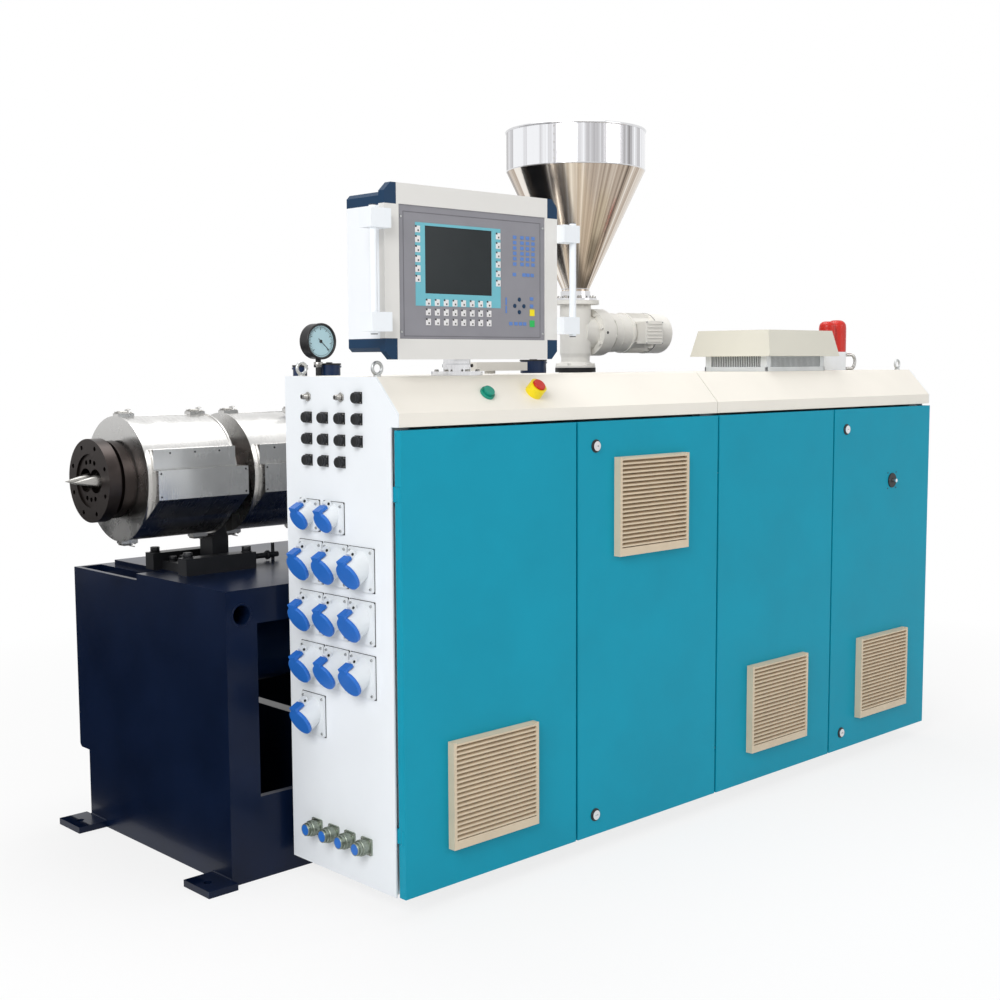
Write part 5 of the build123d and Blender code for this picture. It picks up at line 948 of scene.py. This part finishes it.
class EXTRUDER_OT_roof_fittings(bpy.types.Operator):
    """Bars the roof fan, and ribs the beacon's lens and its conduit"""

    bl_idname = "extruder.roof_fittings"
    bl_label = "Roof fittings"

    def execute(self, context):
        sizes = context.scene.extruder_sizes
        self.fan(mm(sizes.fan_bar_pitch))
        self.beacon()
        self.conduit(mm(sizes.conduit_rib_pitch))
        return {"FINISHED"}

    def fan(self, pitch):
        """Bars, a black box of painted shade behind them, foot rail and hood hem of the roof fan."""
        x0, x1, y0, y1 = FAN
        low, high = FAN_GAP
        bars = bmesh.new()
        for count in range(int((x1 - x0 - 2 * FAN_POST) / pitch)):
            x = x0 + FAN_POST + pitch * (count + 0.5)
            for y in (y0 + 5, y1 - 5):
                join(bars, slab((x - 1.1, y - 1.5, low - 1), (x + 1.1, y + 1.5, high)))
        for count in range(int((y1 - y0 - 2 * FAN_POST) / pitch)):
            y = y0 + FAN_POST + pitch * (count + 0.5)
            for x in (x0 + 5, x1 - 5):
                join(bars, slab((x - 1.5, y - 1.1, low - 1), (x + 1.5, y + 1.1, high)))
        piece("fan_bars", bars, frame_slot("roof_fan_base"))
        # A black box of painted shade stands behind the bars, 18 mm inside the box, for the dark inside of
        # the fan
        painted_shade_box = bmesh.new()
        left, right, near, far = shrunk(FAN, 18)
        for foot, head in (((left, near - 2), (right, near)), ((left, far), (right, far + 2)),
                           ((left, near), (left + 2, far)), ((right - 2, near), (right, far))):
            join(painted_shade_box, slab((*foot, low), (*head, high)))
        piece("fan_painted_shade", painted_shade_box, "black_plastic", finish="rubber_and_painted_shade")
        rail = border(shrunk(FAN, -2), 6, CABINET_TOP, CABINET_TOP + 14, 1)
        piece("fan_rail", rail, frame_slot("roof_fan_base"))
        hem = border(shrunk(FAN, -HOOD_OVERHANG), 2, high - 0.6, high + 3, 0.6)
        # The hem takes the hood's enamel, darkened in part as painted shade
        piece("hood_hem", hem, frame_slot("roof_fan_hood"), finish="hood_enamel_painted_shade")

    def beacon(self):
        """Ribbed lenses of the beacon's two lamps, each on its collar."""
        lens = bmesh.new()
        collars = bmesh.new()
        for x, radius, top in ((2190, 33, 1445), (2133, 28, 1443)):
            profile = [(radius - 0.5, 1361)]
            z = 1362
            while z < top:
                profile += [(radius + 0.3, z), (radius + 1.1, z + 2.4), (radius + 0.3, z + 4.8)]
                z += 5.2
            profile.append((radius - 0.5, top + 2))
            join(lens, turned(profile, 48), Matrix.Translation((x, BEACON_Y, 0)))
            join(collars, ring(radius + 3, radius - 2, 7, 1.5), Matrix.Translation((x, BEACON_Y, 1354)))
        piece("beacon_lens", lens, "red_plastic")
        piece("beacon_collars", collars, frame_slot("beacon_base"))

    def conduit(self, pitch):
        """Ribs along the conduit's two straight runs and round its bend, and the glands at its ends."""
        run, bend = 64.0, 24.0
        x_out, middle = BEACON_END, CABINET_TOP + 29
        levels = (middle + bend, middle - bend)
        places = [facing((x_out + pitch * (count + 0.5), BEACON_Y, z), RIGHT)
                  for count in range(int(run / pitch)) for z in levels]
        turns = int(math.pi * bend / pitch)
        for count in range(turns + 1):
            angle = math.pi * count / turns
            point = (x_out + run + bend * math.sin(angle), BEACON_Y, middle + bend * math.cos(angle))
            places.append(facing(point, (math.cos(angle), 0, -math.sin(angle))))
        rib = [(4.8, -1.3), (5.9, -0.6), (5.9, 0.6), (4.8, 1.3)]
        piece("conduit_ribs", gathered(turned, places, rib, 16, True), "bright_steel")
        glands = [facing((x_out, BEACON_Y, z), RIGHT) for z in levels]
        piece("conduit_glands", gathered(hexagon, glands, 17, 6, 0.6), "bright_steel")


def frame_slot(node):
    """The record's material slot of a CAD node."""
    return next(s["material_slot"] for s in frame["record"]["subparts"] if s["node"] == node)


class EXTRUDER_OT_hopper_trim(bpy.types.Operator):
    """Rolls the hopper's edge, laps its seams and clamps its spout"""

    bl_idname = "extruder.hopper_trim"
    bl_label = "Hopper trim"

    def execute(self, context):
        sizes = context.scene.extruder_sizes
        bead = mm(sizes.hopper_bead)
        beads = bmesh.new()
        for z, radius, wire, steps, sides in ((HOPPER_TOP - bead, HOPPER_R, bead, 96, 12),
                                              (HOPPER_BAND_Z, HOPPER_R - 0.5, 2.0, 96, 8),
                                              (HOPPER_SPOUT_Z, HOPPER_SPOUT_R, 2.0, 48, 8)):
            join(beads, hoop(radius, wire, steps, sides), Matrix.Translation((HOPPER_X, AXIS_Y, z)))
        piece("hopper_beads", beads, "polished_stainless", finish="chrome")

        axis = Matrix.Translation((HOPPER_X, AXIS_Y, 0)) @ Matrix.Rotation(HOPPER_SEAM, 4, "Z")
        laps = slab((HOPPER_R - 0.6, -9, HOPPER_BAND_Z + 2),
                    (HOPPER_R + 0.9, 9, HOPPER_TOP - 2 * bead), 0.4, 1)
        rise = HOPPER_BAND_Z - HOPPER_SPOUT_Z
        spread = HOPPER_R - HOPPER_SPOUT_R
        cone_length = math.hypot(rise, spread)
        lean = Matrix.Rotation(math.atan2(spread, rise), 4, "Y")
        foot = Matrix.Translation((HOPPER_SPOUT_R, 0, HOPPER_SPOUT_Z))
        for turn in (0.35, 0.35 + math.pi):
            strip = slab((-0.6, -6, 4), (0.9, 6, cone_length - 4), 0.4, 1)
            join(laps, strip, Matrix.Rotation(turn, 4, "Z") @ foot @ lean)
        piece("hopper_laps", laps, "polished_stainless", at=axis)
        levels = [HOPPER_BAND_Z + 16 + 26 * row for row in range(5)]
        rivets = [axis @ facing((HOPPER_R + 0.8, 0, z), RIGHT) for z in levels]
        piece("hopper_rivets", gathered(disc, rivets, 2.6, 1.4, 0.6, 12), "bright_steel")

        clamp = ring(76, HOPPER_SPOUT_R + 0.2, 7, 1.0, 64)
        join(clamp, ring(HOPPER_SPOUT_R + 4, HOPPER_SPOUT_R - 0.4, 26, 1.5), Matrix.Translation((0, 0, 6)))
        piece("spout_clamp", clamp, "chrome", at=Matrix.Translation((HOPPER_X, AXIS_Y, FEEDER_TOP)))
        bolts = bolt_circle((HOPPER_X, AXIS_Y, FEEDER_TOP + 7), UP, 66, 8, 0.2)
        piece("spout_bolts", gathered(hex_bolt, bolts, mm(sizes.small_bolt)), "bright_steel")
        return {"FINISHED"}


class EXTRUDER_OT_feeder_trim(bpy.types.Operator):
    """Bolts the feeder's flanges and details its gear motor"""

    bl_idname = "extruder.feeder_trim"
    bl_label = "Feeder trim"

    def execute(self, context):
        flats = mm(context.scene.extruder_sizes.small_bolt)
        bolts = bolt_circle((HOPPER_X, AXIS_Y, FEEDER_FOOT + 14), UP, 62, 6, 0.4)
        bolts += bolt_circle((FEEDER_FLANGE + 60, AXIS_Y, DRIVE_Z), RIGHT, 75, 8, 0.2)
        bolts += bolt_circle((FEEDER_FLANGE, AXIS_Y, DRIVE_Z), LEFT, 72, 8, 0.2)
        piece("feeder_bolts", gathered(hex_bolt, bolts, flats), "cream_cast")
        seat = Matrix.Translation((HOPPER_X, AXIS_Y, FEEDER_FOOT - 8.2))
        piece("feeder_gasket", ring(71, 55, 16, 1.0), "black_plastic", finish="rubber_and_painted_shade", at=seat)

        rings = bmesh.new()
        for x, radius, wide in ((1674, 70.5, 10), (1712, 69.5, 6), (1764, 72, 12), (1880, 71, 9)):
            join(rings, ring(radius, radius - 8, wide, 2.0), facing((x, AXIS_Y, DRIVE_Z), RIGHT))
        piece("feeder_rings", rings, "cream_cast")

        # Ribbed lid of the motor's terminal box, with a cable gland below
        x0, x1, z0, z1 = TERMINAL_BOX
        lid = slab((x0, TERMINAL_FACE, z0), (x1, TERMINAL_FACE + 9, z1), 3, 3)
        for row in range(6):
            z = z0 + 10 + 12.6 * row
            rib = slab((x0 + 8, TERMINAL_FACE - 2.4, z - 2), (x1 - 8, TERMINAL_FACE + 1, z + 2), 0.9, 1)
            join(lid, rib)
        join(lid, ring(15, 8, 14, 2, 24), facing((x0 + 48, TERMINAL_FACE + 28, z0), DOWN))
        piece("terminal_lid", lid, "cream_cast")
        screws = [facing((x, TERMINAL_FACE, z), FRONT)
                  for x in (x0 + 4, x1 - 4) for z in (z0 + 5, z1 - 5)]
        piece("terminal_screws", gathered(socket_screw, screws, 6), "zinc_sheet")

        seam = facing((DRIVE_END - 88.8, AXIS_Y, DRIVE_Z), RIGHT)
        piece("cowl_seam", ring(73.6, 71, 3, 0.6, 64), "black_oxide", at=seam)
        # The cowl's slots are black strips of painted shade, for the dark inside seen through them
        turns = bolt_circle((DRIVE_END, AXIS_Y, DRIVE_Z), RIGHT, 26, 24)
        slots = gathered(slab, turns, (0, -2, 0), (34, 2, 0.8), 0.3, 1)
        piece("cowl_slots", slots, "black_plastic", finish="rubber_and_painted_shade")
        plug = facing((FEEDER_FLANGE + 15, AXIS_Y - 81, DRIVE_Z - 2), FRONT)
        piece("flange_plug", disc(5, 2, steps=16), "black_oxide", at=plug)
        return {"FINISHED"}


def buckle():
    """Toggle latch of a heater cover: plate, lever with a turned-up end, wire bail and two rivets."""
    shape = slab((-22, -13, 0), (22, 13, 1.6), 0.5, 1)
    join(shape, slab((-16, -8, 4), (12, 8, 6.4), 0.8, 1))
    join(shape, slab((9, -8, 5), (20, 8, 7.4), 0.8, 1), Matrix.Rotation(math.radians(-14), 4, "Y"))
    for side in (-1, 1):
        join(shape, slab((-20, side * 10 - 1.2, 2), (6, side * 10 + 1.2, 4.8), 0.7, 1))
        join(shape, disc(3, 2.4, 1.0, 12), Matrix.Translation((17, side * 8.5, 1.6)))
    join(shape, slab((-21.5, -11, 2), (-18.5, 11, 5), 0.9, 1))
    join(shape, slab((-6, -11, 1.6), (-2, 11, 4.4), 0.6, 1))
    return shape


def both_sides(stations, spread, z):
    """Upright places at each x, to the left and right of the barrel's axis."""
    return [Matrix.Translation((x, AXIS_Y + side * spread, z)) for x in stations for side in (-1, 1)]


class EXTRUDER_OT_barrel_trim(bpy.types.Operator):
    """Fits the buckles, seams and rivets of the heater covers, and the bolts and lids below and above them"""

    bl_idname = "extruder.barrel_trim"
    bl_label = "Barrel trim"

    def execute(self, context):
        buckles = []
        seams = bmesh.new()
        rivets = []
        for start in DRUM_STARTS:
            end = start + DRUM_LENGTH
            for x in (start + 26, end - 26):
                buckles.append(Matrix.Translation((x, AXIS_Y, AXIS_Z + DRUM_R + 9)))
                under = Matrix.Translation((x, AXIS_Y, AXIS_Z - DRUM_R - 9))
                buckles.append(under @ Matrix.Rotation(math.pi, 4, "X"))
            for side in (-1, 1):
                top = AXIS_Z + side * DRUM_R
                join(seams, slab((start + 52, AXIS_Y - 5, top - 1.2),
                                 (end - 52, AXIS_Y + 5, top + 1.4), 0.5, 1))
                out = (0, side, 0)
                face = AXIS_Y + side * (DRUM_R + 34)
                rivets += [facing((x, face, AXIS_Z + rise), out)
                           for x in (start + 19, end + 6) for rise in (23, -37)]
                shelf = AXIS_Y + side * (DRUM_R + 10)
                rivets += [facing((x, shelf, AXIS_Z + 74), out)
                           for x in (start + 60, (start + end) / 2, end - 60)]
        piece("cover_buckles", gathered(buckle, buckles), "bright_steel")
        piece("cover_seams", seams, "brushed_stainless")
        piece("cover_rivets", gathered(disc, rivets, 2.6, 1.2, 0.5, 12), "black_oxide")

        bolt = mm(context.scene.extruder_sizes.bolt)
        bars = both_sides((-87, 99), 86.5, DECK_TOP + 46)
        piece("guide_bar_bolts", gathered(hex_bolt, bars, bolt + 4), "black_oxide")
        rod_nuts = [facing((x, AXIS_Y, DECK_TOP + 16), RIGHT) for x in (92, 118, 222)]
        piece("adjusting_nuts", gathered(hexagon, rod_nuts, 24, 11, 1), "black_oxide")
        foot = both_sides((-58, -26), 40, DECK_TOP + 24)
        piece("support_foot_bolts", gathered(hex_bolt, foot, bolt), "black_oxide")
        reach = 58
        stations = [x + side * reach for x in VENTS_X for side in (-1, 1)]
        vents = both_sides(stations, reach, 1179)
        piece("vent_bolts", gathered(hex_bolt, vents, bolt), "bright_steel")
        front, rear = VENTS_X
        pots = bmesh.new()
        for x, y, radius, top in ((front + 33, AXIS_Y - 4, 33, 1329), (front - 43, AXIS_Y + 38, 21, 1324),
                                  (rear, AXIS_Y, 44, 1338)):
            join(pots, ring(radius + 2.4, radius - 3, 5, 1.2), Matrix.Translation((x, y, top - 4)))
            join(pots, disc(radius * 0.3, 4, 1.2, 24), Matrix.Translation((x, y, top)))
        piece("vent_lids", pots, "black_oxide")
        return {"FINISHED"}


class EXTRUDER_OT_base_trim(bpy.types.Operator):
    """Runs the weld beads of the base and bolts down the deck"""

    bl_idname = "extruder.base_trim"
    bl_label = "Base trim"

    def execute(self, context):
        eye = facing((-126, BASE_FRONT, 698), FRONT)
        piece("lifting_rims", ring(30, 25.2, 1.6, 0.5), "navy_gloss", at=eye)
        welds = bmesh.new()
        pad = 92
        for x in (-172, 2650):
            for y in (BASE_FRONT, BASE_BACK - pad):
                join(welds, slab((x - 3.5, y, 15), (x + 3.5, y + pad, 22), 3, 3))
        # A bead at the foot and one at the head of each post
        for x in (700, 1560, 2560):
            for y, foot in ((BASE_FRONT, 217), (BASE_BACK - 70, 330)):
                for z in (foot, 671):
                    join(welds, slab((x - 3, y + 2, z - 3), (x + 93, y + 68, z + 3), 2.6, 2))
        piece("base_welds", welds, "navy_gloss")
        bolts = [Matrix.Translation((x, BASE_FRONT + 40, DECK_TOP)) for x in (340, 700, 1060, 1420, 1580)]
        piece("deck_bolts", gathered(hex_bolt, bolts, mm(context.scene.extruder_sizes.bolt)), "black_oxide")
        return {"FINISHED"}


class EXTRUDER_OT_drive_trim(bpy.types.Operator):
    """Bolts the gearbox and details the coupling guard and the main motor"""

    bl_idname = "extruder.drive_trim"
    bl_label = "Drive trim"

    def execute(self, context):
        sizes = context.scene.extruder_sizes
        flats = mm(sizes.bolt)
        feet = both_sides((1690, 1800, 1920, 2030), 232, 818) + both_sides((2200, 2510), 130, 786)
        piece("foot_bolts", gathered(hex_bolt, feet, flats + 5), "black_oxide")
        self.gearbox(flats)
        self.motor(mm(sizes.small_bolt) + 3)
        return {"FINISHED"}

    def gearbox(self, flats):
        """Lid, bolts, breather and sight glasses of the gearbox."""
        top = GEARBOX_TOP
        lid = slab((1700, AXIS_Y - 150, top - 12), (2020, AXIS_Y + 150, top), 4, 2)
        join(lid, ring(30, 16, 10, 2), Matrix.Translation((1960, AXIS_Y + 90, top - 1)))
        join(lid, ring(118, 100, 10, 2, 64), facing((GEARBOX_FACE - 1, AXIS_Y, AXIS_Z), RIGHT))
        piece("gearbox_lid", lid, "grey_enamel")
        bolts = both_sides((1718, 1790, 1860, 1930, 2002), 132, top)
        bolts += bolt_circle((GEARBOX_FACE, AXIS_Y, AXIS_Z), RIGHT, 160, 8, 0.4)
        piece("gearbox_bolts", gathered(hex_bolt, bolts, flats), "black_oxide")
        breather = turned([(0, 0), (9, 0), (9, 10), (15, 12), (15, 30), (11, 34), (0, 34)], 24)
        spot = Matrix.Translation((1960, AXIS_Y + 90, top + 9))
        piece("gearbox_breather", breather, "bright_steel", at=spot)
        sights = [facing((1772, AXIS_Y + side * 210, 960), (0, side, 0)) for side in (-1, 1)]
        piece("sight_glass_rims", gathered(ring, sights, 26, 17, 7, 1.5), "bright_steel")
        piece("sight_glasses", gathered(disc, sights, 17, 3, 0.8, 24), "screen_glass")

    def motor(self, end_flats):
        """Slots of the coupling guard, and the cowl, terminal box and end bolts of the main motor; the slots
        in the guard and cowl are black strips of painted shade.
        """
        axis = Matrix.Translation((0, AXIS_Y, AXIS_Z))
        count = 28
        slots = [axis @ Matrix.Rotation(2 * math.pi * turn / count, 4, "X") for turn in range(count)]
        # Black strips of painted shade stand for the guard's slots
        guard = gathered(slab, slots, (GEARBOX_FACE + 18, -5, 119.4), (GEARBOX_FACE + 54, 5, 120.8), 0.5, 1)
        piece("guard_slots", guard, "black_plastic", finish="rubber_and_painted_shade")
        hub = (MOTOR_END, AXIS_Y, AXIS_Z)
        cowl = bmesh.new()
        face = facing((MOTOR_END + 0.2, AXIS_Y, AXIS_Z), RIGHT)
        # Black rings of painted shade stand for the cowl's slots
        for radius in range(30, 150, 12):
            join(cowl, ring(radius + 3.4, radius, 1.0, 0.3, 64), face)
        piece("motor_cowl_slots", cowl, "black_plastic", finish="rubber_and_painted_shade")
        turns = [facing(hub, RIGHT, math.pi / 2 * turn + math.pi / 4) for turn in range(4)]
        spokes = gathered(slab, turns, (0, -5, 0), (148, 5, 2.4), 0.8, 1)
        join(spokes, disc(24, 3, 1.0, 32), facing(hub, RIGHT))
        piece("motor_cowl_spokes", spokes, frame_slot("main_motor"))

        x0, x1, top = MOTOR_BOX
        box = slab((x0, AXIS_Y - 69, top - 12), (x1, AXIS_Y + 69, top), 3, 2)
        for side in (-1, 1):
            join(box, ring(19, 11, 16, 2, 24), facing((x0 + 4, AXIS_Y + side * 30, top - 52), LEFT))
        piece("motor_box_lid", box, frame_slot("main_motor"))
        screws = both_sides((x0 + 10, x1 - 10), 58, top)
        piece("motor_box_screws", gathered(socket_screw, screws, 11), "bright_steel")
        ends = bolt_circle((MOTOR_START + 2, AXIS_Y, AXIS_Z), LEFT, 142, 8, 0.2)
        piece("motor_end_bolts", gathered(hex_bolt, ends, end_flats), "black_oxide")


class EXTRUDER_OT_cabinet_trim(bpy.types.Operator):
    """Rings the locks, start button and isolator, and adds the sheets' screws, strips and louvre blades"""

    bl_idname = "extruder.cabinet_trim"
    bl_label = "Cabinet trim"

    def execute(self, context):
        slope = math.atan2(*COVER_SLOPE)
        button = facing(START_BUTTON, (0, -math.sin(slope), math.cos(slope)))
        section = [(15.6, 0.2), (19.4, 0.2), (19.4, 6), (18.4, 8), (16.4, 8), (15.6, 7)]
        piece("start_bezel", turned(section, 48, closed=True), "green_plastic", at=button)
        for number in (2, 4):
            door = f"door_{number}"
            locks = [facing((DOOR_WIDTH * (number - 1) + 72, 0, z), FRONT) for z in (108, 1109)]
            rings = gathered(ring, locks, 17.5, 12.6, 2.4, 0.8, 40)
            piece(door + "_lock_rings", rings, "black_plastic", door)
        plate = ring(24.6, 6.4, 3.6, 0.9, 40)
        piece("isolator_plate", plate, "black_plastic", "door_4", at=facing(ISOLATOR, FRONT))
        corners = bolt_circle(ISOLATOR, FRONT, 37, 4, math.pi / 4)
        piece("isolator_screws", gathered(disc, corners, 2.6, 1.0, 0.4, 12), "black_oxide", "door_4")

        screw = mm(context.scene.extruder_sizes.panel_screw)
        bays = [Matrix.Translation((DOOR_WIDTH * bay, CABINET_BACK, 0)) for bay in (1, 2, 3)]
        strips = gathered(slab, bays, (-14, -0.4, 70), (14, 2, 1205), 0.6, 1)
        piece("back_strips", strips, "zinc_sheet")
        columns = [DOOR_WIDTH * bay + inset for bay in range(4) for inset in (20, 580)]
        back = [facing((x, CABINET_BACK, z), BACK) for x in columns for z in (90, 360, 640, 920, 1190)]
        piece("back_screws", gathered(socket_screw, back, screw + 2), "bright_steel")
        ends = [facing((CABINET_LENGTH, y, z), RIGHT)
                for y in (45, 437) for z in (70, 350, 630, 910, 1190)]
        piece("end_screws", gathered(socket_screw, ends, screw + 1), "zinc_sheet")
        turn = Matrix.Rotation(math.radians(40), 4, "Y")
        blades = [Matrix.Translation((CABINET_LENGTH - 1, 240, 240 + 18 * row)) @ turn for row in range(12)]
        louvres = gathered(slab, blades, (0, -110, -1), (10, 110, 1), 0.4, 1)
        piece("end_louvres", louvres, frame_slot("end_panel_motor"))
        return {"FINISHED"}


class EXTRUDER_PT_panel(bpy.types.Panel):
    """Lists the steps that dress the extruder"""

    bl_idname = "EXTRUDER_PT_panel"
    bl_label = "Plastic extruder"
    bl_space_type = "VIEW_3D"
    bl_region_type = "UI"
    bl_category = "Extruder"

    def draw(self, context):
        for step in STEPS:
            self.layout.operator(step.bl_idname)


STEPS = (
    EXTRUDER_OT_stage,
    EXTRUDER_OT_finishes,
    EXTRUDER_OT_operator_keys,
    EXTRUDER_OT_gauge_dial,
    EXTRUDER_OT_panel_fittings,
    EXTRUDER_OT_roof_fittings,
    EXTRUDER_OT_hopper_trim,
    EXTRUDER_OT_feeder_trim,
    EXTRUDER_OT_barrel_trim,
    EXTRUDER_OT_base_trim,
    EXTRUDER_OT_drive_trim,
    EXTRUDER_OT_cabinet_trim,
)
CLASSES = (ExtruderColours, ExtruderSizes) + STEPS + (EXTRUDER_PT_panel,)


def register():
    for kind in CLASSES:
        bpy.utils.register_class(kind)
    bpy.types.Scene.extruder_colours = bpy.props.PointerProperty(type=ExtruderColours)
    bpy.types.Scene.extruder_sizes = bpy.props.PointerProperty(type=ExtruderSizes)


def unregister():
    del bpy.types.Scene.extruder_sizes
    del bpy.types.Scene.extruder_colours
    for kind in reversed(CLASSES):
        bpy.utils.unregister_class(kind)


def main():
    register()
    for step in STEPS:
        group, name = step.bl_idname.split(".")
        getattr(getattr(bpy.ops, group), name)()


if __name__ == "__main__":
    main()
